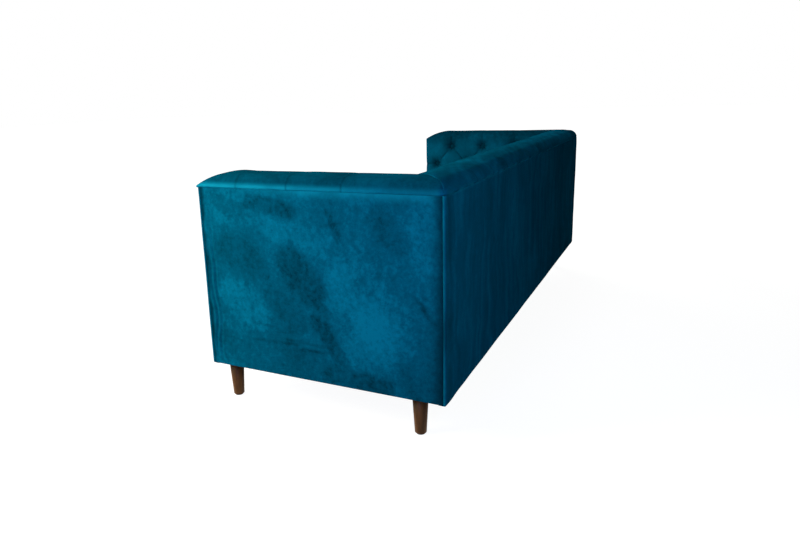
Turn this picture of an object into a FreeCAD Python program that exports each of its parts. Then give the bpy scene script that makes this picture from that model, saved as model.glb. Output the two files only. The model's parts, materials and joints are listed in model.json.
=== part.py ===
"""Three-seater sofa with arms as high as its back, deep buttoned inside and three loose seat cushions.

Frame: millimetres, +Z up, +X to the sitter's left, the seat faces -Y, origin on the floor under the middle.
"""
import FreeCAD, Part
import math
import os

V = FreeCAD.Vector

# Overall size
WIDTH = 2130.0  # outside of one arm to the outside of the other
DEPTH = 800.0  # front of the arms to the outside of the back
LEG_HEIGHT = 132.0  # floor to the underside of the body
BODY_HEIGHT = 575.0  # underside of the body to the seam below the top roll
ARM_THICKNESS = 155.0  # each arm, and the back at its top
BACK_FOOT_THICKNESS = 210.0  # the raked back where it meets the seat
DECK_HEIGHT = 295.0  # floor to the cloth deck below the cushions

# Padded top roll of the arms and the back
SHOULDER_WIDTH = 40.0  # outer rounding, measured inwards
SHOULDER_RISE = 39.0  # outer rounding, measured up from the seam
CROWN_RISE = 4.0  # dome of the top above its roundings
INNER_RADIUS = 45.0  # rounding from the top to the inside face
FRONT_LIP_RISE = 5.0  # front end of an arm's top above the seam
FRONT_DOME_LENGTH = 110.0  # how far back the front end is rounded down
FRONT_DOME_KNEE = 35.0  # a point on that rounding, measured back from the front
FRONT_DOME_KNEE_RISE = 20.0  # the height of that point above the front lip
FRONT_DOME_RISE = 41.0  # its full height above the front lip

# Soft layers
COVER = 2.0  # velvet with its backing
WADDING = 5.0  # under the outside covers
BOARD = 3.0  # fibreboard panels
FOAM = 48.0  # inside arms and inside back
FRONT_PAD = 12.0  # front rail and arm fronts
DECK_PAD = 15.0
INSULATOR = 3.0  # felt over the springs
DUST_CLOTH = 1.0
HEM = 14.0  # cover turned under the frame
LIP = 50.0  # front cover turned back over the deck
DUST_CLOTH_MARGIN = 6.0

# Deep buttoning
COLUMN_PITCH = 176.0
ROW_PITCH = 98.0
ROW_COUNT = 3
TOP_ROW_DROP = 40.0  # top row below the seam
FIRST_COLUMN = 149.0  # arm's first button from the front
BUTTON_MARGIN = 70.0  # least distance of a button from an inside corner
TUFT_DEPTH = 24.0
TUFT_MOUTH_RADIUS = 42.0
TUFT_FLOOR_RADIUS = 14.0
BUTTON_RADIUS = 11.5
BUTTON_RIM = 2.0
BUTTON_RISE = 7.0

# Loose seat cushions
CUSHION_COUNT = 3
CUSHION_THICKNESS = 138.0  # at the edges
CUSHION_CROWN = 14.0
CUSHION_SETBACK = 3.0  # behind the front of the arms
CUSHION_GAP = 3.0  # to each other, the arms and the back

# Timber frame
RAIL = 25.0  # thickness of the rails and posts
TOP_BOARD = 22.0
TOP_BOARD_DROP = 8.0  # top of the board below the seam
SIDE_RAIL_HEIGHT = 110.0
BACK_RAIL_HEIGHT = 110.0
STRETCHER_HEIGHT = 45.0
STRETCHER_COUNT = 2
STRETCHER_SPACING = 720.0
UPRIGHT = 25.0
UPRIGHT_COUNT = 4
UPRIGHT_MARGIN = 10.0
BLOCK_MARGIN = 40.0  # corner block beyond a leg's centre

# Springs and webbing
WIRE = 4.0
SPRING_PITCH = 195.0
SPRING_MARGIN = 90.0  # outermost spring from an arm
SPRING_BAR = 40.0  # straight part of a spring's bars
SPRING_STEP = 24.0  # between the bars of a spring, about
CLIP_WIDTH = 22.0
CLIP_LENGTH = 16.0
CLIP_HEIGHT = 7.0
WEBBING = 2.0
WEBBING_WIDTH = 50.0
WEBBING_PITCH = 140.0

# Fasteners
DOWEL_RADIUS = 5.0
DOWEL_LENGTH = 40.0
THIRDS = (1 / 3, 2 / 3)  # where a joint's two dowels sit along it
FIRST_TURNS = (1 / 8, 5 / 8)  # where dowels cross in a post, they take turns
SECOND_TURNS = (3 / 8, 7 / 8)
SCREW_RADIUS = 2.5
SCREW_LENGTH = 60.0
SCREW_SPREAD = 50.0
BOLT_RADIUS = 4.0
BOLT_IN_LEG = 35.0
BOLT_IN_BLOCK = 25.0
PLATE_SCREW_RADIUS = 2.0
PLATE_SCREW_LENGTH = 22.0

# Legs
LEG_TOP_RADIUS = 24.5
LEG_FOOT_RADIUS = 17.5
LEG_FOOT_ROUNDING = 3.0
GLIDE = 3.0
GLIDE_RADIUS = 13.0
LEG_PLATE = 64.0
PLATE_THICKNESS = 3.0
PLATE_SCREW_INSET = 7.0
PLATE_CLEARANCE = 1.0  # dust cloth round a plate
LEG_SETBACK_SIDE = 13.0  # plate from the turned-in cover
LEG_SETBACK_FRONT = 2.0
LEG_SETBACK_BACK = 50.0

# Levels
SEAM_Z = LEG_HEIGHT + BODY_HEIGHT
SHOULDER_Z = SEAM_Z + SHOULDER_RISE
CREST_Z = SHOULDER_Z + CROWN_RISE
FRAME_Z = LEG_HEIGHT + PLATE_THICKNESS
HEM_Z = FRAME_Z - COVER
TOP_BOARD_Z = SEAM_Z - TOP_BOARD_DROP
POST_TOP_Z = TOP_BOARD_Z - TOP_BOARD
STRETCHER_TOP_Z = FRAME_Z + STRETCHER_HEIGHT
DECK_PAD_Z = DECK_HEIGHT - COVER
INSULATOR_TOP_Z = DECK_PAD_Z - DECK_PAD
INSULATOR_Z = INSULATOR_TOP_Z - INSULATOR
RAIL_TOP_Z = INSULATOR_Z - CLIP_HEIGHT
INNER_FACE_TOP_Z = SHOULDER_Z - INNER_RADIUS

# Places across the layers, measured inwards from an outside face
FRAME_IN = COVER + WADDING + BOARD
FOAM_IN = ARM_THICKNESS - COVER - FOAM
POST_IN = FOAM_IN - BOARD
BACK_FOAM_FOOT_IN = BACK_FOOT_THICKNESS - COVER - FOAM

# Places in plan
SIDE_X = WIDTH / 2
INSIDE_X = SIDE_X - ARM_THICKNESS
FRONT_Y = -DEPTH / 2
BACK_Y = DEPTH / 2
PAD_Y = FRONT_Y + COVER
FRAME_Y = PAD_Y + FRONT_PAD
POST_BACK_Y = FRAME_Y + RAIL
FRAME_BACK_Y = BACK_Y - FRAME_IN
REAR_POST_Y = FRAME_BACK_Y - RAIL
SEAT_BACK_Y = BACK_Y - BACK_FOOT_THICKNESS
UPRIGHT_FRONT_Y = BACK_Y - (BACK_FOAM_FOOT_IN - WEBBING)
SEAT_RAIL_FRONT_Y = UPRIGHT_FRONT_Y - RAIL
HEM_END = COVER + HEM
LEG_X = SIDE_X - (HEM_END + LEG_SETBACK_SIDE + LEG_PLATE / 2)
LEG_FRONT_Y = FRONT_Y + HEM_END + LEG_SETBACK_FRONT + LEG_PLATE / 2
LEG_BACK_Y = BACK_Y - (HEM_END + LEG_SETBACK_BACK + LEG_PLATE / 2)
LEG_PLACES = [(side * LEG_X, y) for y in (LEG_FRONT_Y, LEG_BACK_Y) for side in (1, -1)]

# Rake of the inside back: run outwards for each millimetre down
RAKE = (BACK_FOOT_THICKNESS - ARM_THICKNESS) / (INNER_FACE_TOP_Z - INSULATOR_TOP_Z)
CORE_RAKE = (BACK_FOAM_FOOT_IN - FOAM_IN) / (TOP_BOARD_Z - INSULATOR_TOP_Z)
HALF = math.sqrt(0.5)


def box(x0, x1, y0, y1, z0, z1):
    return Part.makeBox(x1 - x0, y1 - y0, z1 - z0, V(x0, y0, z0))


def arm_box(in0, in1, y0, y1, z0, z1):
    """Box in the +X arm, placed by its distances in from the arm's outside face."""
    return box(SIDE_X - in1, SIDE_X - in0, y0, y1, z0, z1)


def mirrored(shape):
    return shape.mirror(V(0, 0, 0), V(1, 0, 0))


def both_sides(shape):
    return Part.makeCompound([shape, mirrored(shape)])


def polygon(points):
    return Part.Face(Part.makePolygon(points + points[:1]))


def spaced(count, reach):
    """Places from -reach to reach, evenly spaced."""
    return [reach * (2 * i / (count - 1) - 1) for i in range(count)]


def centred(pitch, room):
    """Places at a pitch, centred, as many as fit from -room to room."""
    count = int(2 * room / pitch) + 1
    return [pitch * (i - (count - 1) / 2) for i in range(count)]


def between(low, high, shares):
    """Places at given shares of the way from one value to another."""
    return [low + (high - low) * share for share in shares]


def in_arm(inwards, z):
    return V(SIDE_X - inwards, PAD_Y, z)


def in_back(inwards, z):
    return V(-SIDE_X, BACK_Y - inwards, z)


def back_face_in(z):
    """Thickness of the raked back at a height."""
    return ARM_THICKNESS + (INNER_FACE_TOP_Z - z) * RAKE


def core_face_in(z):
    """Back of the inside back's foam at a height, measured in from the outside back."""
    return FOAM_IN + (TOP_BOARD_Z - z) * CORE_RAKE


def roll_section(place, inset, foot_in, low_z, outer_in):
    """Face of a roll's section, from the outside seam over the top and down the inside face."""
    shoulder_w = SHOULDER_WIDTH - inset
    shoulder_h = SHOULDER_RISE - inset
    radius = INNER_RADIUS - inset
    round_in = ARM_THICKNESS - INNER_RADIUS
    seam = place(inset, SEAM_Z)
    shoulder_mid = place(SHOULDER_WIDTH - shoulder_w * HALF, SEAM_Z + shoulder_h * HALF)
    shoulder = place(SHOULDER_WIDTH, SHOULDER_Z - inset)
    crest = place((SHOULDER_WIDTH + round_in) / 2, CREST_Z - inset)
    round_top = place(round_in, SHOULDER_Z - inset)
    round_mid = place(round_in + radius * HALF, INNER_FACE_TOP_Z + radius * HALF)
    face_top = place(ARM_THICKNESS - inset, INNER_FACE_TOP_Z)
    face_foot = place(foot_in - inset, low_z)
    edges = [
        Part.Arc(seam, shoulder_mid, shoulder).toShape(),
        Part.Arc(shoulder, crest, round_top).toShape(),
        Part.Arc(round_top, round_mid, face_top).toShape(),
        Part.makeLine(face_top, face_foot),
        Part.makeLine(face_foot, place(outer_in, low_z)),
        Part.makeLine(place(outer_in, low_z), place(outer_in, SEAM_Z)),
    ]
    if outer_in > inset:
        edges.append(Part.makeLine(place(outer_in, SEAM_Z), seam))
    return Part.Face(Part.Wire(edges))


def front_dome(inset):
    """Space below the rounded front end of an arm's top."""
    lip_z = SEAM_Z + FRONT_LIP_RISE - inset
    over_z = CREST_Z + FRONT_DOME_RISE
    x = SIDE_X + COVER
    lip = V(x, FRONT_Y, lip_z)
    knee = V(x, FRONT_Y + FRONT_DOME_KNEE, lip_z + FRONT_DOME_KNEE_RISE)
    end = V(x, FRONT_Y + FRONT_DOME_LENGTH, lip_z + FRONT_DOME_RISE)
    corners = [end, V(x, end.y, over_z), V(x, BACK_Y, over_z), V(x, BACK_Y, 0), V(x, FRONT_Y, 0), lip]
    edges = [Part.Arc(lip, knee, end).toShape()]
    edges += [Part.makeLine(a, b) for a, b in zip(corners, corners[1:])]
    return Part.Face(Part.Wire(edges)).extrude(V(-ARM_THICKNESS - 2 * COVER, 0, 0))


def arm_plan():
    """Upright prism of the +X arm, mitred to the back at its rear corner."""
    top = CREST_Z + FRONT_DOME_RISE
    corners = [
        V(SIDE_X, FRONT_Y, 0),
        V(SIDE_X, BACK_Y, 0),
        V(INSIDE_X, BACK_Y - ARM_THICKNESS, 0),
        V(INSIDE_X, FRONT_Y, 0),
    ]
    return polygon(corners).extrude(V(0, 0, top))


def arm_envelope(inset):
    section = roll_section(in_arm, inset, ARM_THICKNESS, INSULATOR_TOP_Z, COVER)
    return section.extrude(V(0, BACK_Y - PAD_Y, 0)).common(front_dome(inset)).common(arm_plan())


def arm_front_slab(inset, outer_in, low_z, y0, y1):
    """Slice of the arm's front, down to the underside of the body."""
    section = roll_section(in_arm, inset, ARM_THICKNESS, low_z, outer_in)
    section.translate(V(0, y0 - PAD_Y, 0))
    return section.extrude(V(0, y1 - y0, 0)).common(front_dome(inset))


def back_envelope(inset):
    section = roll_section(in_back, inset, BACK_FOOT_THICKNESS, INSULATOR_TOP_Z, COVER)
    arm = arm_plan()
    return section.extrude(V(WIDTH, 0, 0)).cut(arm).cut(mirrored(arm))


def row_z(row):
    return SEAM_Z - TOP_ROW_DROP - row * ROW_PITCH


def arm_tufts():
    """Button places on the +X arm's inside face, with the direction that the face looks."""
    places = []
    for row in range(ROW_COUNT):
        z = row_z(row)
        y = FRONT_Y + FIRST_COLUMN - COLUMN_PITCH / 2 * (row % 2)
        last_y = BACK_Y - back_face_in(z) - BUTTON_MARGIN
        while y <= last_y:
            places.append((V(INSIDE_X, y, z), V(-1, 0, 0)))
            y += COLUMN_PITCH
    return places


def back_tufts():
    """Button places on the raked inside back."""
    facing = V(0, -1, RAKE).normalize()
    columns = centred(COLUMN_PITCH, INSIDE_X - BUTTON_MARGIN)
    half_columns = [x + COLUMN_PITCH / 2 for x in columns[:-1]]
    places = []
    for row in range(ROW_COUNT):
        z = row_z(row)
        for x in half_columns if row % 2 else columns:
            places.append((V(x, BACK_Y - back_face_in(z), z), facing))
    return places


def tuft_cones(tufts, inset):
    """Hollows that the buttons pull into a face; the foam's are larger by the cover's thickness."""
    slope = (TUFT_MOUTH_RADIUS - TUFT_FLOOR_RADIUS) / TUFT_DEPTH
    depth = TUFT_DEPTH + inset
    height = 2 * depth
    radius = TUFT_FLOOR_RADIUS + inset
    cones = []
    for place, facing in tufts:
        floor = place - facing * depth
        cones.append(Part.makeCone(radius, radius + slope * height, height, floor, facing))
    return Part.makeCompound(cones)


def tufted_cover_and_foam(envelope, tufts, core):
    """Thin buttoned cover, and the foam below it around a core that the frame fills."""
    outer = envelope(0).cut(tuft_cones(tufts, 0))
    inner = envelope(COVER).cut(tuft_cones(tufts, COVER))
    return outer.cut(inner), inner.cut(core)


def arm_core():
    """What the foam of the +X arm leaves free: its front pad's place and the frame below the top board."""
    front = arm_box(0, ARM_THICKNESS, FRONT_Y, FRAME_Y, 0, CREST_Z)
    frame = arm_box(0, FOAM_IN, FRONT_Y, BACK_Y, 0, TOP_BOARD_Z)
    return front.fuse(frame)


def back_core():
    corners = [
        in_back(0, INSULATOR_TOP_Z),
        in_back(0, TOP_BOARD_Z),
        in_back(FOAM_IN, TOP_BOARD_Z),
        in_back(BACK_FOAM_FOOT_IN, INSULATOR_TOP_Z),
    ]
    return polygon(corners).extrude(V(WIDTH, 0, 0))


def buttons(tufts):
    """Covered buttons, each a low dome on the floor of its hollow."""
    dome = BUTTON_RISE - BUTTON_RIM
    radius = (BUTTON_RADIUS ** 2 + dome ** 2) / (2 * dome)
    brow_angle = math.asin(BUTTON_RADIUS / radius) / 2
    rim = V(BUTTON_RADIUS, 0, BUTTON_RIM)
    top = V(0, 0, BUTTON_RISE)
    brow = top + V(radius * math.sin(brow_angle), 0, radius * (math.cos(brow_angle) - 1))
    solids = []
    for place, facing in tufts:
        edges = [
            Part.makeLine(V(0, 0, 0), V(BUTTON_RADIUS, 0, 0)),
            Part.makeLine(V(BUTTON_RADIUS, 0, 0), rim),
            Part.Arc(rim, brow, top).toShape(),
            Part.makeLine(top, V(0, 0, 0)),
        ]
        solid = Part.Face(Part.Wire(edges)).revolve(V(0, 0, 0), V(0, 0, 1), 360)
        turn = FreeCAD.Rotation(V(0, 0, 1), facing)
        solid.Placement = FreeCAD.Placement(place - facing * TUFT_DEPTH, turn)
        solids.append(solid)
    return Part.makeCompound(solids)


def outside_arm_cover():
    panel = arm_box(0, COVER, PAD_Y, BACK_Y - COVER, HEM_Z, SEAM_Z)
    hem = arm_box(COVER, HEM_END, FRONT_Y + HEM_END, BACK_Y - HEM_END, HEM_Z, FRAME_Z)
    return panel.fuse(hem)


def outside_back_cover():
    panel = box(-SIDE_X, SIDE_X, BACK_Y - COVER, BACK_Y, HEM_Z, SEAM_Z)
    reach = SIDE_X - COVER
    hem = box(-reach, reach, BACK_Y - HEM_END, BACK_Y - COVER, HEM_Z, FRAME_Z)
    return panel.fuse(hem)


def arm_front_cover():
    panel = arm_front_slab(0, 0, HEM_Z, FRONT_Y, PAD_Y)
    hem = arm_box(COVER, ARM_THICKNESS, PAD_Y, FRONT_Y + HEM_END, HEM_Z, FRAME_Z)
    return panel.fuse(hem)


def arm_front_pad():
    return arm_front_slab(COVER, COVER, FRAME_Z, PAD_Y, FRAME_Y)


def front_rail_cover():
    panel = box(-INSIDE_X, INSIDE_X, FRONT_Y, PAD_Y, HEM_Z, DECK_HEIGHT)
    hem = box(-INSIDE_X, INSIDE_X, PAD_Y, FRONT_Y + HEM_END, HEM_Z, FRAME_Z)
    lip = box(-INSIDE_X, INSIDE_X, PAD_Y, FRONT_Y + LIP, DECK_PAD_Z, DECK_HEIGHT)
    return panel.fuse(hem).fuse(lip)


def front_rail_pad():
    return box(-INSIDE_X, INSIDE_X, PAD_Y, FRAME_Y, FRAME_Z, DECK_PAD_Z)


def deck_cloth():
    return box(-INSIDE_X, INSIDE_X, FRONT_Y + LIP, SEAT_BACK_Y, DECK_PAD_Z, DECK_HEIGHT)


def deck_pad():
    return box(-INSIDE_X, INSIDE_X, FRAME_Y, SEAT_BACK_Y, INSULATOR_TOP_Z, DECK_PAD_Z)


def seat_insulator():
    reach = SIDE_X - FOAM_IN
    return box(-reach, reach, FRAME_Y, UPRIGHT_FRONT_Y, INSULATOR_Z, INSULATOR_TOP_Z)


def dust_cover():
    x = SIDE_X - DUST_CLOTH_MARGIN
    y = BACK_Y - DUST_CLOTH_MARGIN
    cloth = box(-x, x, -y, y, HEM_Z - DUST_CLOTH, HEM_Z)
    half = LEG_PLATE / 2 + PLATE_CLEARANCE
    for leg_x, leg_y in LEG_PLACES:
        cloth = cloth.cut(box(leg_x - half, leg_x + half, leg_y - half, leg_y + half, 0, FRAME_Z))
    return cloth


def arm_outer_board():
    return arm_box(COVER + WADDING, FRAME_IN, FRAME_Y, FRAME_BACK_Y, FRAME_Z, TOP_BOARD_Z)


def back_outer_board():
    reach = SIDE_X - COVER
    return box(-reach, reach, FRAME_BACK_Y, FRAME_BACK_Y + BOARD, FRAME_Z, TOP_BOARD_Z)


def arm_inner_board():
    return arm_box(POST_IN, FOAM_IN, FRAME_Y, REAR_POST_Y, RAIL_TOP_Z, POST_TOP_Z)


def outer_wadding():
    arm = arm_box(COVER, COVER + WADDING, FRAME_Y, FRAME_BACK_Y, FRAME_Z, TOP_BOARD_Z)
    reach = SIDE_X - COVER
    back = box(-reach, reach, BACK_Y - COVER - WADDING, BACK_Y - COVER, FRAME_Z, TOP_BOARD_Z)
    return Part.makeCompound([arm, mirrored(arm), back])


def arm_post(y):
    return arm_box(FRAME_IN, POST_IN, y, y + RAIL, FRAME_Z, POST_TOP_Z)


def arm_top_board():
    return arm_box(FRAME_IN, FOAM_IN, FRAME_Y, FRAME_BACK_Y, POST_TOP_Z, TOP_BOARD_Z)


def side_rail():
    top = FRAME_Z + SIDE_RAIL_HEIGHT
    return arm_box(FRAME_IN, FRAME_IN + RAIL, POST_BACK_Y, REAR_POST_Y, FRAME_Z, top)


def seat_side_rail():
    return arm_box(POST_IN - RAIL, POST_IN, POST_BACK_Y, REAR_POST_Y, STRETCHER_TOP_Z, RAIL_TOP_Z)


def cross_rail(y, low_z, high_z):
    reach = SIDE_X - POST_IN
    return box(-reach, reach, y, y + RAIL, low_z, high_z)


def back_top_board():
    reach = SIDE_X - FOAM_IN
    return box(-reach, reach, BACK_Y - FOAM_IN, FRAME_BACK_Y, POST_TOP_Z, TOP_BOARD_Z)


def stretcher_places():
    return spaced(STRETCHER_COUNT, STRETCHER_SPACING / 2)


def base_stretchers():
    half = RAIL / 2
    return Part.makeCompound([
        box(x - half, x + half, POST_BACK_Y, REAR_POST_Y, FRAME_Z, STRETCHER_TOP_Z)
        for x in stretcher_places()
    ])


def corner_blocks():
    inner = FRAME_IN + RAIL
    front = arm_box(inner, POST_IN, POST_BACK_Y, LEG_FRONT_Y + BLOCK_MARGIN, FRAME_Z, STRETCHER_TOP_Z)
    back = arm_box(inner, POST_IN, LEG_BACK_Y - BLOCK_MARGIN, REAR_POST_Y, FRAME_Z, STRETCHER_TOP_Z)
    return Part.makeCompound([front, back, mirrored(front), mirrored(back)])


def upright_places():
    return spaced(UPRIGHT_COUNT, INSIDE_X - UPRIGHT_MARGIN - UPRIGHT / 2)


def back_uprights():
    """Shaped boards that stand over the back rail and carry the raked inside back."""
    rail_top = FRAME_Z + BACK_RAIL_HEIGHT
    solids = []
    for x in upright_places():
        corners = [
            V(x - UPRIGHT / 2, FRAME_BACK_Y, rail_top),
            V(x - UPRIGHT / 2, FRAME_BACK_Y, POST_TOP_Z),
            V(x - UPRIGHT / 2, BACK_Y - (core_face_in(POST_TOP_Z) - WEBBING), POST_TOP_Z),
            V(x - UPRIGHT / 2, UPRIGHT_FRONT_Y, INSULATOR_TOP_Z),
            V(x - UPRIGHT / 2, UPRIGHT_FRONT_Y, STRETCHER_TOP_Z),
            V(x - UPRIGHT / 2, REAR_POST_Y, STRETCHER_TOP_Z),
            V(x - UPRIGHT / 2, REAR_POST_Y, rail_top),
        ]
        solids.append(polygon(corners).extrude(V(UPRIGHT, 0, 0)))
    return Part.makeCompound(solids)


def back_webbing():
    """Upright straps between the back's uprights and its foam."""
    solids = []
    for x in centred(WEBBING_PITCH, INSIDE_X - WEBBING_WIDTH):
        corners = []
        for z, layer in ((POST_TOP_Z, 0), (INSULATOR_TOP_Z, 0), (INSULATOR_TOP_Z, 1), (POST_TOP_Z, 1)):
            corners.append(V(x - WEBBING_WIDTH / 2, BACK_Y - (core_face_in(z) - WEBBING * layer), z))
        solids.append(polygon(corners).extrude(V(WEBBING_WIDTH, 0, 0)))
    return Part.makeCompound(solids)


def spring_places():
    return centred(SPRING_PITCH, INSIDE_X - SPRING_MARGIN)


def spring_ends():
    return FRAME_Y + RAIL / 2, SEAT_RAIL_FRONT_Y + RAIL / 2


def seat_springs():
    """Zigzag springs of bent wire, from the front rail to the rear seat rail."""
    y0, y1 = spring_ends()
    z = RAIL_TOP_Z + CLIP_HEIGHT / 2
    count = max(2, round((y1 - y0) / SPRING_STEP))
    step = (y1 - y0) / count
    edges = []
    for i in range(count + 1):
        side = 1 if i % 2 == 0 else -1
        y = y0 + i * step
        start = V(-side * SPRING_BAR / 2, y, z)
        end = V(side * SPRING_BAR / 2, y, z)
        edges.append(Part.makeLine(start, end))
        if i < count:
            bulge = V(end.x + side * step / 2, y + step / 2, z)
            edges.append(Part.Arc(end, bulge, end + V(0, step, 0)).toShape())
    path = Part.Wire(edges)
    ring = Part.Wire(Part.makeCircle(WIRE / 2, path.Edges[0].Vertexes[0].Point, V(1, 0, 0)))
    spring = path.makePipeShell([ring], True, False)
    return Part.makeCompound([spring.translated(V(x, 0, 0)) for x in spring_places()])


def spring_clips(springs):
    solids = []
    top = RAIL_TOP_Z + CLIP_HEIGHT
    for x in spring_places():
        for y in spring_ends():
            half_w = CLIP_WIDTH / 2
            half_l = CLIP_LENGTH / 2
            clip = box(x - half_w, x + half_w, y - half_l, y + half_l, RAIL_TOP_Z, top)
            solids.append(clip)
    return Part.makeCompound(solids).cut(springs)


def dowel(centre, axis):
    start = centre - axis * (DOWEL_LENGTH / 2)
    return Part.makeCylinder(DOWEL_RADIUS, DOWEL_LENGTH, start, axis)


def frame_dowels():
    """Dowels across every butt joint of the frame, two to a joint, clear of each other in the posts."""
    x = SIDE_X - POST_IN
    along_x = V(1, 0, 0)
    along_y = V(0, 1, 0)
    cross_rails = [
        (FRAME_Y, STRETCHER_TOP_Z, RAIL_TOP_Z, FIRST_TURNS),
        (REAR_POST_Y, FRAME_Z, STRETCHER_TOP_Z, THIRDS),
        (SEAT_RAIL_FRONT_Y, STRETCHER_TOP_Z, RAIL_TOP_Z, THIRDS),
    ]
    centres = []
    for y, low, high, shares in cross_rails:
        for z in between(low, high, shares):
            centres.append((V(x, y + RAIL / 2, z), along_x))
    for y in between(BACK_Y - FOAM_IN, FRAME_BACK_Y, THIRDS):
        centres.append((V(SIDE_X - FOAM_IN, y, POST_TOP_Z + TOP_BOARD / 2), along_x))
    side_rail_x = SIDE_X - FRAME_IN - RAIL / 2
    seat_rail_x = SIDE_X - POST_IN + RAIL / 2
    for y in (POST_BACK_Y, REAR_POST_Y):
        for z in between(FRAME_Z, FRAME_Z + SIDE_RAIL_HEIGHT, THIRDS):
            centres.append((V(side_rail_x, y, z), along_y))
        for z in between(STRETCHER_TOP_Z, RAIL_TOP_Z, SECOND_TURNS):
            centres.append((V(seat_rail_x, y, z), along_y))
    solids = [dowel(centre, axis) for centre, axis in centres]
    solids += [mirrored(solid) for solid in solids]
    for stretcher_x in stretcher_places():
        for y in (POST_BACK_Y, REAR_POST_Y):
            for z in between(FRAME_Z, STRETCHER_TOP_Z, THIRDS):
                solids.append(dowel(V(stretcher_x, y, z), along_y))
    return Part.makeCompound(solids)


def frame_screws():
    """Screws down through the top boards into the posts and uprights."""
    post_x = SIDE_X - (FRAME_IN + POST_IN) / 2
    half = SCREW_SPREAD / 2
    places = []
    for y in (FRAME_Y + RAIL / 2, REAR_POST_Y + RAIL / 2):
        for x in (post_x - half, post_x + half):
            places += [(x, y), (-x, y)]
    board_y = (BACK_Y - FOAM_IN + FRAME_BACK_Y) / 2
    for x in upright_places():
        places += [(x, board_y - half), (x, board_y + half)]
    start_z = TOP_BOARD_Z - SCREW_LENGTH
    return Part.makeCompound([
        Part.makeCylinder(SCREW_RADIUS, SCREW_LENGTH, V(x, y, start_z)) for x, y in places
    ])


def leg(x, y):
    cone = Part.makeCone(LEG_FOOT_RADIUS, LEG_TOP_RADIUS, LEG_HEIGHT - GLIDE, V(x, y, GLIDE))
    foot_edge = [e for e in cone.Edges if e.BoundBox.ZMax < GLIDE + LEG_FOOT_ROUNDING]
    return cone.makeFillet(LEG_FOOT_ROUNDING, foot_edge).cut(leg_bolt(x, y))


def leg_bolt(x, y):
    length = BOLT_IN_LEG + PLATE_THICKNESS + BOLT_IN_BLOCK
    return Part.makeCylinder(BOLT_RADIUS, length, V(x, y, LEG_HEIGHT - BOLT_IN_LEG))


def plate_screws():
    reach = LEG_PLATE / 2 - PLATE_SCREW_INSET
    solids = []
    for x, y in LEG_PLACES:
        for dx in (-reach, reach):
            for dy in (-reach, reach):
                place = V(x + dx, y + dy, LEG_HEIGHT)
                solids.append(Part.makeCylinder(PLATE_SCREW_RADIUS, PLATE_SCREW_LENGTH, place))
    return Part.makeCompound(solids)


def leg_plates(fasteners):
    half = LEG_PLATE / 2
    plates = [box(x - half, x + half, y - half, y + half, LEG_HEIGHT, FRAME_Z) for x, y in LEG_PLACES]
    return Part.makeCompound(plates).cut(fasteners)


def leg_glides():
    return Part.makeCompound([Part.makeCylinder(GLIDE_RADIUS, GLIDE, V(x, y, 0)) for x, y in LEG_PLACES])


def cushion_width():
    return (2 * INSIDE_X - (CUSHION_COUNT + 1) * CUSHION_GAP) / CUSHION_COUNT


def cushion_places():
    pitch = cushion_width() + CUSHION_GAP
    return [pitch * (i - (CUSHION_COUNT - 1) / 2) for i in range(CUSHION_COUNT)]


def crowned_section(corners, crown):
    """Face with a straight bottom and sides and a crowned top, from four corners in order."""
    low_a, low_b, high_b, high_a = corners
    middle = (high_a + high_b) * 0.5 + V(0, 0, crown)
    edges = [
        Part.makeLine(low_a, low_b),
        Part.makeLine(low_b, high_b),
        Part.Arc(high_b, middle, high_a).toShape(),
        Part.makeLine(high_a, low_a),
    ]
    return Part.Face(Part.Wire(edges))


def cushion_solid(x, inset):
    """Crowned cushion whose rear follows the raked back."""
    half = cushion_width() / 2 - inset
    low = DECK_HEIGHT + inset
    high = DECK_HEIGHT + CUSHION_THICKNESS - inset
    front = FRONT_Y + CUSHION_SETBACK + inset
    back_low = BACK_Y - back_face_in(low) - CUSHION_GAP - inset
    back_high = BACK_Y - back_face_in(high) - CUSHION_GAP - inset
    left = x - half
    right = x + half
    along = crowned_section(
        [V(left, front, low), V(left, back_low, low), V(left, back_high, high), V(left, front, high)],
        CUSHION_CROWN,
    )
    across = crowned_section(
        [V(left, front, low), V(right, front, low), V(right, front, high), V(left, front, high)],
        CUSHION_CROWN,
    )
    return along.extrude(V(2 * half, 0, 0)).common(across.extrude(V(0, back_high - front, 0)))


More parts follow.
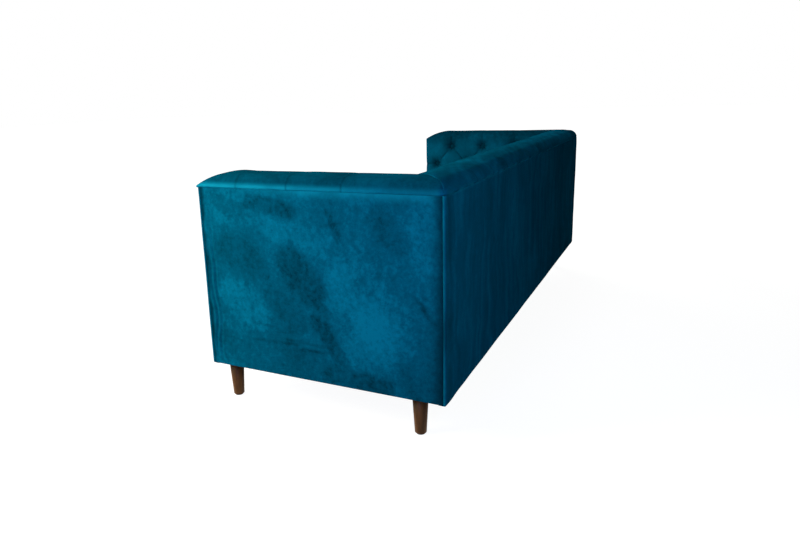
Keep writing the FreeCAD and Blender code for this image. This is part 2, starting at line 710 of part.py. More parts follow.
def body_parts():
    """Every node of the standing body, by name, with the sitter's left at +X."""
    parts = {}

    def pair(name, shape):
        parts[name + "_left"] = shape
        parts[name + "_right"] = mirrored(shape)

    parts["front_rail"] = cross_rail(FRAME_Y, FRAME_Z, RAIL_TOP_Z)
    parts["back_rail"] = cross_rail(REAR_POST_Y, FRAME_Z, FRAME_Z + BACK_RAIL_HEIGHT)
    parts["rear_seat_rail"] = cross_rail(SEAT_RAIL_FRONT_Y, STRETCHER_TOP_Z, RAIL_TOP_Z)
    parts["side_rails"] = both_sides(side_rail())
    parts["seat_side_rails"] = both_sides(seat_side_rail())
    parts["base_stretchers"] = base_stretchers()
    parts["corner_blocks"] = corner_blocks()
    pair("arm_front_post", arm_post(FRAME_Y))
    pair("arm_rear_post", arm_post(REAR_POST_Y))
    pair("arm_top_board", arm_top_board())
    parts["back_top_board"] = back_top_board()
    parts["back_uprights"] = back_uprights()
    fasteners = {
        "frame_dowels": frame_dowels(),
        "frame_screws": frame_screws(),
        "leg_bolts": Part.makeCompound([leg_bolt(x, y) for x, y in LEG_PLACES]),
        "plate_screws": plate_screws(),
    }
    bores = Part.makeCompound(list(fasteners.values()))
    parts = {name: shape.cut(bores) for name, shape in parts.items()}
    parts.update(fasteners)
    parts["leg_plates"] = leg_plates(bores)
    parts["leg_glides"] = leg_glides()
    names = ("leg_front_left", "leg_front_right", "leg_rear_left", "leg_rear_right")
    for name, (x, y) in zip(names, LEG_PLACES):
        parts[name] = leg(x, y)

    parts["seat_springs"] = seat_springs()
    parts["spring_clips"] = spring_clips(parts["seat_springs"])
    parts["back_webbing"] = back_webbing()
    parts["seat_insulator"] = seat_insulator()
    parts["deck_pad"] = deck_pad()
    parts["deck_cloth"] = deck_cloth()

    parts["arm_outer_boards"] = both_sides(arm_outer_board())
    parts["back_outer_board"] = back_outer_board()
    parts["arm_inner_boards"] = both_sides(arm_inner_board())
    parts["outer_wadding"] = outer_wadding()
    parts["arm_front_pads"] = both_sides(arm_front_pad())
    parts["front_rail_pad"] = front_rail_pad()

    cover, foam = tufted_cover_and_foam(arm_envelope, arm_tufts(), arm_core())
    pair("inside_arm_cover", cover)
    pair("arm_foam", foam)
    pair("arm_buttons", buttons(arm_tufts()))
    cover, foam = tufted_cover_and_foam(back_envelope, back_tufts(), back_core())
    parts["inside_back_cover"] = cover
    parts["back_foam"] = foam
    parts["back_buttons"] = buttons(back_tufts())

    pair("outside_arm_cover", outside_arm_cover())
    parts["outside_back_cover"] = outside_back_cover()
    pair("arm_front_cover", arm_front_cover())
    parts["front_rail_cover"] = front_rail_cover()
    parts["dust_cover"] = dust_cover()
    return parts


def cushion_parts():
    """Foam core and velvet cover of each loose cushion."""
    parts = {}
    for number, x in enumerate(cushion_places(), 1):
        core = cushion_solid(x, COVER)
        parts[f"cushion_core_{number}"] = core
        parts[f"cushion_cover_{number}"] = cushion_solid(x, 0).cut(core)
    return parts


def main():
    os.makedirs("parts", exist_ok=True)
    for name, shape in {**body_parts(), **cushion_parts()}.items():
        shape.exportStep(f"parts/{name}.step")


main()
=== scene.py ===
"""Dresses the packed frame of a buttoned three-seater sofa in teal velvet.

Metres, +Z up, +X to the sitter's left, the seat faces -Y, the floor is at z = 0.
"""

import json
import math

import bmesh
import bpy
import numpy as np
from bpy.props import FloatProperty, FloatVectorProperty, IntProperty, PointerProperty
from mathutils import Matrix, Vector, noise


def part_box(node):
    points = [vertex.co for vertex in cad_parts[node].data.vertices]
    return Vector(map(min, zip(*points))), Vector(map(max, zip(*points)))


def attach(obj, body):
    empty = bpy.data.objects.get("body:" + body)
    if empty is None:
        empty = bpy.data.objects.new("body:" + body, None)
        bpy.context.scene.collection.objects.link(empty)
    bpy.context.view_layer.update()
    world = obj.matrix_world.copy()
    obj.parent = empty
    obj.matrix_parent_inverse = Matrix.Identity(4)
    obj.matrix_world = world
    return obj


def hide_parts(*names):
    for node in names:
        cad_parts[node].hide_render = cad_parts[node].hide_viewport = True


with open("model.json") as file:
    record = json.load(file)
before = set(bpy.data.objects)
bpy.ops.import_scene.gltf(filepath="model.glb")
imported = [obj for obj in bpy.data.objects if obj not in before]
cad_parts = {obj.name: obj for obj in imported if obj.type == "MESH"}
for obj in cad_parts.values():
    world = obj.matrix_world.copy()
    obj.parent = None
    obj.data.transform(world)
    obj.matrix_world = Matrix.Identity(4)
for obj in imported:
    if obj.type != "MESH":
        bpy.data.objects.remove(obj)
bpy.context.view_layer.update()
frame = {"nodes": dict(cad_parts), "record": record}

bl_info = {
    "name": "Buttoned velvet sofa",
    "version": (1, 0, 0),
    "blender": (4, 5, 0),
    "location": "View3D > Sidebar > Sofa",
    "description": "Dresses a packed sofa frame with velvet covers, buttons, cushions, legs and a stage",
    "category": "Object",
}

BODY = "sofa_body"
HEM_SAG = 0.003  # how far the hems hang below the frame's flat covers
SEAM_EASE = 0.03  # run of cover over which the padding begins at a roll's outer seam
UP = Vector((0, 0, 1))
LEFT = Vector((1, 0, 0))
REARWARD = Vector((0, 1, 0))

# Places read from the frame
SIDE_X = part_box("outside_arm_cover_left")[1].x
INSIDE_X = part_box("inside_arm_cover_left")[0].x
FRONT_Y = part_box("arm_front_cover_left")[0].y
BACK_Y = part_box("outside_back_cover")[1].y
SEAM_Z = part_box("outside_back_cover")[1].z
HEM_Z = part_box("outside_back_cover")[0].z - HEM_SAG
CREST_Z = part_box("inside_back_cover")[1].z
TUCK_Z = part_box("inside_back_cover")[0].z
DECK_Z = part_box("deck_cloth")[1].z
LIP_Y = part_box("front_rail_cover")[1].y
ARM = SIDE_X - INSIDE_X
BACK_FOOT = BACK_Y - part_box("inside_back_cover")[0].y
RAKE = (BACK_FOOT - ARM) / (CREST_Z - TUCK_Z)


def length(name, description, default):
    """A size in metres."""
    return FloatProperty(name=name, description=description, default=default, unit="LENGTH", precision=4)


def colour(name, description, default):
    """A linear colour."""
    return FloatVectorProperty(name=name, description=description, default=default, subtype="COLOR", size=3)


def fraction(name, description, default):
    """A share between 0 and 1."""
    return FloatProperty(name=name, description=description, default=default, subtype="FACTOR", precision=3)


def angle(name, description, degrees):
    """An angle, given in degrees."""
    return FloatProperty(name=name, description=description, default=math.radians(degrees), unit="ROTATION")


def power(name, description, default):
    """A lamp's power in watts."""
    return FloatProperty(name=name, description=description, default=default, unit="POWER")


class SofaRollSettings(bpy.types.PropertyGroup):
    """Padded roll along the top of the arms and the back."""
    shoulder_width: length("Shoulder width", "Outer rounding, measured inwards", 0.040)
    shoulder_rise: length("Shoulder rise", "Outer rounding, measured up from the seam", 0.039)
    inner_radius: length("Inner radius", "Rounding from the top to the inside face", 0.045)
    seam_turn: length("Seam turn", "Radius at which a cover turns into a seam", 0.0018)
    front_lip: length("Front lip", "Front end of an arm's top above the seam", 0.005)
    dome_length: length("Dome length", "How far back the front end is rounded down", 0.110)
    dome_rise: length("Dome rise", "Height of that rounding above the front lip", 0.041)
    mitre_dip: length("Mitre dip", "How far the covers pull in where arm and back meet", 0.001)
    mitre_reach: length("Mitre reach", "How far from the mitre the roll starts to sink", 0.05)
    corner: length("Corner", "Rounding of the roll's outer corner, seen from above", 0.024)
    arm_settle: length("Arm settle", "How far the top of an arm has settled", 0.003)
    unevenness: length("Unevenness", "Hand-stuffed waviness of the padding", 0.0022)
    step: length("Mesh step", "Spacing of the cover's mesh", 0.0042)


class SofaTuftSettings(bpy.types.PropertyGroup):
    """Deep buttoning of the inside faces."""
    depth: length("Depth", "Depth of the hollow at a button", 0.024)
    floor: length("Floor", "Flat radius of a hollow below its button", 0.009)
    reach: length("Reach", "How far from its floor a hollow fades out", 0.062)
    valley_depth: length("Valley depth", "Soft dip along a pleat", 0.0055)
    valley_width: length("Valley width", "Half width of that dip", 0.050)
    crease_depth: length("Crease depth", "Sharp fold of a pleat", 0.0032)
    crease_width: length("Crease width", "Half width of that fold", 0.0045)
    arm_crest: fraction("Arm crest", "Share of a pleat left on an arm's top", 0.12)
    back_crest: fraction("Back crest", "Share of a pleat left on the back's top", 0.50)
    gathers: IntProperty(name="Gathers", description="Small folds round a button", default=7, min=3, max=16)
    gather_depth: length("Gather depth", "Depth of those folds", 0.0012)
    button_radius: length("Button radius", "Radius of a covered button", 0.0115)
    button_rise: length("Button rise", "Height of a covered button", 0.007)


class SofaPanelSettings(bpy.types.PropertyGroup):
    """Flat outside panels and fronts."""
    cloth: length("Cloth", "Thickness of the velvet with its backing", 0.002)
    soft_turn: length("Soft turn", "Radius of a padded edge", 0.012)
    crisp_turn: length("Crisp turn", "Radius of an edge drawn tight", 0.003)
    hem_turn: length("Hem turn", "Radius of the lower edge", 0.003)
    hem: length("Hem", "Cloth that runs on behind an edge", 0.014)
    seam_turn: length("Seam turn", "Radius of an edge sewn to the roll above it", 0.0018)
    back_edge: length("Back edge", "Width of the outside back's edge seen from the side", 0.0045)
    waviness: length("Waviness", "Slack of the cloth over its wadding", 0.0012)
    rear_turn: length("Rear turn", "Radius of an outside arm's rear edge", 0.006)
    step: length("Mesh step", "Spacing of the panel's mesh", 0.0062)


class SofaCushionSettings(bpy.types.PropertyGroup):
    """Loose seat cushions."""
    edge: length("Edge", "Rounding of the cushion before it swells", 0.020)
    slack: length("Slack", "How much smaller the cushion starts", 0.006)
    swell: length("Swell", "Most that a point may move as the cushion swells", 0.016)
    voxel: length("Voxel", "Spacing of the cushion's mesh before subdivision", 0.0075)
    seam_depth: length("Seam depth", "Groove of the border seams", 0.0032)
    seam_width: length("Seam width", "Half width of that groove", 0.005)


class SofaVelvetSettings(bpy.types.PropertyGroup):
    """Colours of the velvet pile, with a painted shade for folds and a pile colour that also paints a
    highlight.
    """
    brushed: colour("Brushed pile", "Pile that leans away from the light", (0.0002, 0.036, 0.066))
    lying: colour("Lying pile", "Pile as it mostly lies", (0.0004, 0.096, 0.184))
    raised: colour("Raised pile", "Pile that leans to the light", (0.0008, 0.158, 0.290))
    # Deep fold is painted shade: the colour mixed in where folds, grooves, hollows and edges turned from the
    # light fall in shade.
    deep: colour("Deep fold", "Pile down in a fold", (0.0002, 0.014, 0.026))
    # Rubbed edge is partly pile laid open and partly a painted highlight along edges and seams.
    rubbed_and_highlight: colour("Rubbed edge", "Pile laid open along an edge", (0.004, 0.290, 0.470))


class SofaWoodSettings(bpy.types.PropertyGroup):
    """Turned walnut legs."""
    dark: colour("Dark grain", "Late wood of the legs", (0.028, 0.0090, 0.0022))
    light: colour("Light grain", "Early wood of the legs", (0.200, 0.076, 0.020))
    foot_rounding: length("Foot rounding", "Rounding of a leg's lower edge", 0.003)
    foot_radius: length("Foot radius", "Radius of a leg at the floor", 0.0175)


class SofaStageSettings(bpy.types.PropertyGroup):
    """Camera, lamps and floor."""
    camera_place: FloatVectorProperty(
        name="Camera", description="Where the camera stands", default=(2.5860, 0.9281, 0.9576),
        subtype="TRANSLATION", size=3)
    heading: angle("Heading", "Compass heading of the view, from +Y towards +X", 242.562)
    dip: angle("Dip", "How far the view looks down", 13.483)
    roll: angle("Roll", "Tilt of the view", -2.030)
    lens: FloatProperty(name="Lens", description="Focal length for a 36 mm wide picture", default=28.872)
    shift: FloatVectorProperty(
        name="Shift", description="Framing of the picture off the lens axis", size=2,
        default=(0.0564, -0.0199))
    key: power("Key", "Power of the lamp beside the near arm", 39.0)
    side: power("Side", "Power of the blue lamp across the near arm", 6.0)
    far: power("Far", "Power of the lamp beside the far arm", 24.0)
    fill: power("Fill", "Power of the lamp behind the back", 6.0)
    top: power("Top", "Power of the lamp overhead", 7.0)
    front: power("Front", "Power of the lamp before the seat", 44.0)
    ambient: fraction("Ambient", "Light from all round", 0.010)
    floor: colour("Floor", "Colour of the pale floor", (0.62, 0.62, 0.62))


SETTINGS = {
    "sofa_roll": SofaRollSettings,
    "sofa_tuft": SofaTuftSettings,
    "sofa_panel": SofaPanelSettings,
    "sofa_cushion": SofaCushionSettings,
    "sofa_velvet": SofaVelvetSettings,
    "sofa_wood": SofaWoodSettings,
    "sofa_stage": SofaStageSettings,
}


# Node trees


class Nodes:
    """Adds nodes to one tree; inputs are values, or sockets to link."""

    def __init__(self, tree):
        self.tree = tree

    def put(self, value, socket):
        """Links a socket to an input, or sets the input's plain value."""
        if isinstance(value, bpy.types.NodeSocket):
            self.tree.links.new(value, socket)
        else:
            socket.default_value = value

    def add(self, kind, inputs=None, **settings):
        node = self.tree.nodes.new("ShaderNode" + kind)
        for name, value in settings.items():
            setattr(node, name, value)
        for name, value in (inputs or {}).items():
            self.put(value, node.inputs[name])
        return node

    def math(self, operation, first, second=0.0):
        return self.add("Math", {0: first, 1: second}, operation=operation).outputs[0]

    def vector_math(self, operation, inputs):
        return self.add("VectorMath", inputs, operation=operation).outputs[0]

    def weighted(self, first, first_weight, second, second_weight):
        """The sum of two values, each times its weight."""
        first = self.math("MULTIPLY", first, first_weight)
        return self.math("ADD", first, self.math("MULTIPLY", second, second_weight))

    def range(self, value, low, high, to_low=0.0, to_high=1.0, smooth=False):
        inputs = {"Value": value, "From Min": low, "From Max": high, "To Min": to_low, "To Max": to_high}
        kind = "SMOOTHSTEP" if smooth else "LINEAR"
        return self.add("MapRange", inputs, interpolation_type=kind).outputs[0]

    def mix(self, factor, first, second):
        inputs = {0: factor, 6: rgba(first), 7: rgba(second)}
        return self.add("Mix", inputs, data_type="RGBA").outputs[2]

    def noise(self, vector, scale, detail=2.0, roughness=0.5):
        inputs = {"Vector": vector, "Scale": scale, "Detail": detail, "Roughness": roughness}
        return self.add("TexNoise", inputs).outputs[0]

    def place(self, vector, scale=(1, 1, 1), turn=(0, 0, 0), shift=(0, 0, 0)):
        inputs = {"Vector": vector, "Location": shift, "Rotation": turn, "Scale": scale}
        return self.add("Mapping", inputs).outputs[0]

    def attribute(self, name):
        return self.add("Attribute", attribute_name=name).outputs["Fac"]

    def group(self, name, inputs):
        return self.add("Group", inputs, node_tree=shared_group(name)).outputs


def rgba(value):
    """A colour as a socket takes it."""
    if isinstance(value, bpy.types.NodeSocket):
        return value
    return (*value, 1.0)


def brushed_nap(nodes, given):
    """Pile brushed this way and that: broad patches, feathered swipes, mottling, streaks along local Z
    and small dark flecks."""
    where = given["Vector"]
    warp = nodes.add("TexNoise", {"Vector": where, "Scale": 4.0, "Detail": 2.0}).outputs["Color"]
    warp = nodes.vector_math("SUBTRACT", {0: warp, 1: (0.5, 0.5, 0.5)})
    warp = nodes.vector_math("SCALE", {0: warp, "Scale": 0.16})
    bent = nodes.vector_math("ADD", {0: where, 1: warp})
    swept = nodes.place(bent, scale=(1.0, 1.0, 0.55), turn=(0.5, 0.0, 0.3), shift=(3.1, 1.7, 0.4))
    drawn = nodes.place(bent, scale=(26.0, 26.0, 2.6))
    layers = {
        "Patch Weight": nodes.range(nodes.noise(bent, given["Patches"], 3.0, 0.50), 0.26, 0.72),
        "Swipe Weight": nodes.range(nodes.noise(swept, given["Swipes"], 6.0, 0.58), 0.36, 0.60, smooth=True),
        "Mottle Weight": nodes.range(nodes.noise(where, 64.0, 7.0, 0.70), 0.30, 0.70),
        "Streak Weight": nodes.range(nodes.noise(drawn, 1.0, 4.0, 0.6), 0.30, 0.70),
    }
    total = 0.0
    weights = 0.0
    for weight, layer in layers.items():
        total = nodes.math("ADD", total, nodes.math("MULTIPLY", layer, given[weight]))
        weights = nodes.math("ADD", weights, given[weight])
    slanted = nodes.place(bent, scale=(1.0, 1.0, 1.9), turn=(0.35, 0.0, 0.0))
    flecks = nodes.range(nodes.noise(slanted, 30.0, 4.0, 0.62), 0.57, 0.66)
    marked = nodes.math("MULTIPLY", flecks, given["Fleck Weight"])
    return [nodes.math("SUBTRACT", nodes.math("DIVIDE", total, weights), marked)]


def pile_grain(nodes, given):
    """Tips of the pile: fine grain for colour and relief."""
    tips = nodes.noise(given["Vector"], 900.0, 3.0, 0.6)
    tufts = nodes.noise(given["Vector"], 210.0, 2.0, 0.5)
    return [nodes.range(nodes.weighted(tips, 0.6, tufts, 0.4), 0.3, 0.7)]


def weave(nodes, given):
    """Plain weave: threads over and under each other, across X and Y."""
    parts = nodes.add("SeparateXYZ", {0: given["Vector"]}).outputs
    threads = []
    for part in (parts[0], parts[1]):
        turns = nodes.math("MULTIPLY", part, given["Threads"])
        threads.append(nodes.math("SINE", nodes.math("MULTIPLY", turns, 2 * math.pi)))
    height = nodes.range(nodes.math("MULTIPLY", threads[0], threads[1]), -1.0, 1.0)
    slub = nodes.noise(given["Vector"], 120.0, 3.0, 0.6)
    return [height, nodes.range(nodes.math("ADD", height, slub), 0.3, 1.5)]


def wood_grain(nodes, given):
    """Grain along Z: growth bands, fine fibres and short dark pores."""
    where = given["Vector"]
    wobble = nodes.noise(nodes.place(where, scale=(6, 6, 1.4)), 1.6, 3.0)
    parts = nodes.add("SeparateXYZ", {0: where}).outputs
    across = nodes.weighted(parts[0], 1.0, parts[1], 0.35)
    bands = nodes.range(nodes.math("SINE", nodes.weighted(across, given["Bands"], wobble, 5.0)), -1.0, 1.0)
    fibres = nodes.noise(nodes.place(where, scale=(900, 900, 18)), 1.0, 3.0)
    pores = nodes.range(nodes.noise(nodes.place(where, scale=(1500, 1500, 60)), 1.0, 1.0), 0.62, 0.70)
    tone = nodes.weighted(bands, 0.45, fibres, 0.65)
    return [nodes.weighted(tone, 1.0, pores, -0.35), fibres]


def speckle(nodes, given):
    """Cells, fibres or grit at one scale, with a broader unevenness."""
    fine = nodes.noise(given["Vector"], given["Scale"], 4.0, 0.7)
    broad = nodes.noise(given["Vector"], nodes.math("MULTIPLY", given["Scale"], 0.04), 2.0)
    return [nodes.range(nodes.weighted(fine, 0.7, broad, 0.3), 0.3, 0.7)]


# Each node group: the function that builds it, its inputs with their defaults, and its outputs
GROUPS = {
    "brushed_nap": (
        brushed_nap,
        {"Vector": None, "Patches": 5.0, "Swipes": 7.0, "Patch Weight": 1.0, "Swipe Weight": 0.3,
         "Mottle Weight": 0.5, "Streak Weight": 0.3, "Fleck Weight": 0.0},
        ["Nap"]),
    "pile_grain": (pile_grain, {"Vector": None}, ["Grain"]),
    "weave": (weave, {"Vector": None, "Threads": 500.0}, ["Height", "Shade"]),
    "wood_grain": (wood_grain, {"Vector": None, "Bands": 420.0}, ["Tone", "Height"]),
    "speckle": (speckle, {"Vector": None, "Scale": 600.0}, ["Speckle"]),
}


def shared_group(name):
    """The node group of that name, built once."""
    tree = bpy.data.node_groups.get(name)
    if tree:
        return tree
    build, inputs, outputs = GROUPS[name]
    tree = bpy.data.node_groups.new(name, "ShaderNodeTree")
    for socket, value in inputs.items():
        kind = "NodeSocketVector" if value is None else "NodeSocketFloat"
        made = tree.interface.new_socket(name=socket, in_out="INPUT", socket_type=kind)
        if value is not None:
            made.default_value = value
    for socket in outputs:
        tree.interface.new_socket(name=socket, in_out="OUTPUT", socket_type="NodeSocketFloat")
    start = tree.nodes.new("NodeGroupInput").outputs
    end = tree.nodes.new("NodeGroupOutput").inputs
    for socket, value in zip(outputs, build(Nodes(tree), start)):
        tree.links.new(value, end[socket])
    return tree


# Materials


def new_material(name):
    """A plain material, with its nodes, its shader and its object coordinates."""
    material = bpy.data.materials.new(name)
    material.use_nodes = True
    nodes = Nodes(material.node_tree)
    shader = material.node_tree.nodes["Principled BSDF"]
    where = nodes.add("TexCoord").outputs["Object"]
    return material, nodes, shader, where


def link_surface(nodes, shader, tone, roughness, height, depth):
    """Links a shader's colour and roughness, and a bump of the given depth."""
    relief = nodes.add("Bump", {"Height": height, "Distance": depth, "Strength": 1.0}).outputs[0]
    for name, value in (("Base Color", tone), ("Roughness", roughness), ("Normal", relief)):
        nodes.put(value, shader.inputs[name])


def velvet(name, contrast, brushing, turn=(0, 0, 0)):
    """Teal velvet; the brushing sets how its pile was laid, and the turn which way its streaks run.

    Three attributes of a piece shift its colour: sweep lays the pile over and also paints shade on the tops
    of rolls, rub opens the pile and also paints a highlight along edges and seams, and fold is painted shade
    in folds, grooves, hollows and on edges turned from the light.
    """
    tones = bpy.context.scene.sofa_velvet
    material, nodes, shader, where = new_material(name)
    nap = nodes.group("brushed_nap", {"Vector": nodes.place(where, turn=turn), **brushing})[0]
    nap = nodes.range(nap, 0.5 - 0.5 / contrast, 0.5 + 0.5 / contrast)
    grain = nodes.group("pile_grain", {"Vector": where})[0]
    tipped = nodes.math("MULTIPLY", nodes.math("SUBTRACT", grain, 0.5), 0.22)
    ragged = nodes.range(nodes.noise(where, 60.0, 6.0, 0.65), 0.30, 0.62, 0.45, 1.0)
    # Darker where the sweep attribute lays the pile over: brush marks in the pile, and painted shade on the
    # tops of rolls.
    swept = nodes.math("MULTIPLY", nodes.attribute("sweep"), ragged)
    lean = nodes.math("SUBTRACT", nodes.math("ADD", nap, tipped), swept)
    pile = nodes.mix(nodes.range(lean, -0.35, 0.52), tones.brushed, tones.lying)
    pile = nodes.mix(nodes.range(lean, 0.50, 1.00), pile, tones.raised)
    # Painted highlight along edges and seams, mixed with pile laid open there.
    pile = nodes.mix(nodes.attribute("rub"), pile, tones.rubbed_and_highlight)
    # Painted shade in folds, grooves, hollows and on edges turned from the light.
    pile = nodes.mix(nodes.attribute("fold"), pile, tones.deep)
    link_surface(nodes, shader, pile, nodes.range(lean, 0.0, 1.0, 0.92, 0.66), grain, 0.0006)
    shader.inputs["Specular IOR Level"].default_value = 0.0
    shader.inputs["Sheen Weight"].default_value = 0.06
    shader.inputs["Sheen Roughness"].default_value = 0.40
    shader.inputs["Sheen Tint"].default_value = (0.0, 0.45, 0.75, 1.0)
    return material


def wood(name, dark, light, bands, roughness, relief, gloss=0.5):
    """Wood with its grain along Z; the roughness is given for the dark and for the light grain."""
    material, nodes, shader, where = new_material(name)
    tone, height = nodes.group("wood_grain", {"Vector": where, "Bands": bands})[0:2]
    dulled = nodes.range(tone, 0.0, 1.0, *roughness)
    link_surface(nodes, shader, nodes.mix(tone, dark, light), dulled, height, relief)
    shader.inputs["Specular IOR Level"].default_value = gloss
    return material


def woven(name, dark, light, threads, roughness):
    """Plain woven cloth or strap."""
    material, nodes, shader, where = new_material(name)
    height, shade = nodes.group("weave", {"Vector": where, "Threads": threads})[0:2]
    dulled = nodes.range(shade, 0.0, 1.0, roughness, roughness - 0.1)
    link_surface(nodes, shader, nodes.mix(shade, dark, light), dulled, height, 0.25 / threads)
    return material


def speckled(name, dark, light, scale, roughness, relief, metallic=0.0):
    """Foam, wadding, felt, board or bright metal, by its scale and relief."""
    material, nodes, shader, where = new_material(name)
    grit = nodes.group("speckle", {"Vector": where, "Scale": scale})[0]
    dulled = nodes.range(grit, 0.0, 1.0, roughness, roughness - 0.12)
    link_surface(nodes, shader, nodes.mix(grit, dark, light), dulled, grit, relief)
    shader.inputs["Metallic"].default_value = metallic
    return material


# Meshes


def new_piece(name, bm, material, smooth=True):
    """An object at the origin from a finished bmesh."""
    mesh = bpy.data.meshes.new(name)
    for face in bm.faces:
        face.smooth = smooth
    bm.to_mesh(mesh)
    bm.free()
    piece = bpy.data.objects.new(name, mesh)
    bpy.context.scene.collection.objects.link(piece)
    mesh.materials.append(material)
    return piece


def settle(piece, nodes, body=BODY):
    """Puts a piece on its body in place of the frame's own nodes."""
    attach(piece, body)
    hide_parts(*nodes)


def cover(piece, nodes):
    """Gives a velvet cover its cloth thickness, inwards, and puts it in place of the frame's nodes."""
    solid = piece.modifiers.new("cloth", "SOLIDIFY")
    solid.thickness = bpy.context.scene.sofa_panel.cloth
    solid.offset = -1.0
    settle(piece, nodes)


def mirrored_bmesh(piece):
    """The same shape on the other side of the sofa, with its faces still outwards."""
    bm = bmesh.new()
    bm.from_mesh(piece.data)
    bmesh.ops.scale(bm, vec=(-1, 1, 1), verts=bm.verts)
    bmesh.ops.reverse_faces(bm, faces=bm.faces)
    return bm


def woven_grid(columns, rows):
    """A flat grid as a bmesh, with the column and row of each vertex."""
    bm = bmesh.new()
    bmesh.ops.create_grid(bm, x_segments=columns - 1, y_segments=rows - 1, size=0.5)
    flat = np.array([vert.co[:2] for vert in bm.verts])
    flat = (flat - flat.min(0)) / (flat.max(0) - flat.min(0))
    column = np.rint(flat[:, 0] * (columns - 1)).astype(int)
    row = np.rint(flat[:, 1] * (rows - 1)).astype(int)
    return bm, column, row


def move_verts(bm, places):
    """Moves a bmesh's vertices to an array of places."""
    for vert, place in zip(bm.verts, places):
        vert.co = place


def write_attribute(piece, name, values):
    """Stores one value per vertex for the materials to read."""
    made = piece.data.attributes.new(name, "FLOAT", "POINT")
    made.data.foreach_set("value", np.ascontiguousarray(values, dtype=np.float32))


def paint_shade(piece, values):
    """Paints shade into a piece's fold mask, raising it to at least the given values."""
    made = piece.data.attributes["fold"]
    fold = np.zeros(len(made.data), dtype=np.float32)
    made.data.foreach_get("value", fold)
    made.data.foreach_set("value", np.maximum(fold, values).astype(np.float32))


def turn_profile(bm, profile, steps):
    """Spins a profile of (radius, height) once round Z."""
    verts = [bm.verts.new((radius, 0, z)) for radius, z in profile]
    edges = [bm.edges.new(pair) for pair in zip(verts, verts[1:])]
    bmesh.ops.spin(bm, geom=verts + edges, axis=UP, angle=2 * math.pi, steps=steps, use_merge=True)


def uneven(parts, scale, seed):
    """Smooth noise from -1 to 1 at places given by three parts, each an array or one number."""
    shift = Vector((seed * 7.3, seed * 3.1, seed * 5.7))
    points = np.stack(np.broadcast_arrays(*parts), 1)
    return np.array([noise.noise(Vector(point) * scale + shift) for point in points])


def patches(parts, scale, seed, middle, amount):
    """Shares from 0 to 1 that vary smoothly about a middle."""
    return np.clip(middle + amount * uneven(parts, scale, seed), 0, 1)


def bell(off, width):
    """1 at no distance, falling smoothly to 0 beyond a width."""
    return np.exp(-(off / width) ** 2)


def ramp(value, reach):
    """0 below zero, rising evenly to 1 at a reach."""
    return np.clip(value / reach, 0, 1)


def off_run(points, start, end):
    """From the nearest place on a straight run to each point; places are complex numbers."""
    run = end - start
    share = np.clip(((points - start) * np.conj(run)).real / abs(run) ** 2, 0, 1)
    return points - start - share * run


# Rolls with buttoned inside faces


def roll_section(foot_in):
    """Points (inwards, height) along a roll's cover, from its outer seam over the top to the seat."""
    roll = bpy.context.scene.sofa_roll
    turn = roll.seam_turn
    shoulder_z = SEAM_Z + roll.shoulder_rise
    round_in = ARM - roll.inner_radius
    quarter = np.linspace(0, math.pi / 2, 40)
    across = np.linspace(-1, 1, 40)
    middle = (roll.shoulder_width + round_in) / 2
    half = (round_in - roll.shoulder_width) / 2
    pieces = [
        (turn * (1 - np.sin(quarter)), SEAM_Z + turn * (1 - np.cos(quarter))),
        (roll.shoulder_width * (1 - np.cos(quarter)),
         SEAM_Z + turn + (roll.shoulder_rise - turn) * np.sin(quarter)),
        (middle + half * across, shoulder_z + (CREST_Z - shoulder_z) * (1 - across ** 2)),
        (round_in + roll.inner_radius * np.sin(quarter),
         shoulder_z - roll.inner_radius * (1 - np.cos(quarter))),
        (np.linspace(ARM, foot_in, 40), np.linspace(shoulder_z - roll.inner_radius, TUCK_Z, 40)),
    ]
    inwards = np.concatenate([piece[0][:-1] for piece in pieces])
    height = np.concatenate([piece[1][:-1] for piece in pieces])
    return inwards, height


class Section:
    """A roll's section by distance along the cover."""

    def __init__(self, foot_in):
        roll = bpy.context.scene.sofa_roll
        self.inwards, self.height = roll_section(foot_in)
        steps = np.hypot(np.diff(self.inwards), np.diff(self.height))
        self.along = np.concatenate([[0], np.cumsum(steps)])
        self.total = self.along[-1]
        self.face_z = SEAM_Z + roll.shoulder_rise - roll.inner_radius
        self.slope = math.hypot(1, (foot_in - ARM) / (self.face_z - TUCK_Z))
        top = int(np.argmax(self.height))
        self.face = np.interp(-self.face_z, -self.height[top:], self.along[top:])

    def at(self, along):
        """Inwards, height and the outward normal's two parts at distances along the cover."""
        inwards = np.interp(along, self.along, self.inwards)
        height = np.interp(along, self.along, self.height)
        small = 0.002
        ahead = np.clip(along + small, 0, self.total)
        behind = np.clip(along - small, 0, self.total)
        run = np.interp(ahead, self.along, self.inwards) - np.interp(behind, self.along, self.inwards)
        rise = np.interp(ahead, self.along, self.height) - np.interp(behind, self.along, self.height)
        size = np.hypot(run, rise)
        return inwards, height, -rise / size, run / size

    def down_to(self, z):
        """Distance along the cover to a height on the inside face."""
        return self.face + (self.face_z - z) * self.slope


def button_places(node):
    """Middle of each separate button of a frame node."""
    bm = bmesh.new()
    bm.from_mesh(frame["nodes"][node].data)
    bmesh.ops.remove_doubles(bm, verts=bm.verts, dist=1e-5)
    left = set(bm.verts)
    places = []
    while left:
        island = set()
        edge = [left.pop()]
        while edge:
            vert = edge.pop()
            island.add(vert)
            for link in vert.link_edges:
                other = link.other_vert(vert)
                if other in left:
                    left.discard(other)
                    edge.append(other)
        corners = np.array([vert.co for vert in island])
        places.append(Vector((corners.min(0) + corners.max(0)) / 2))
    bm.free()
    return sorted(places, key=lambda place: (-round(place.z, 2), place.y, place.x))


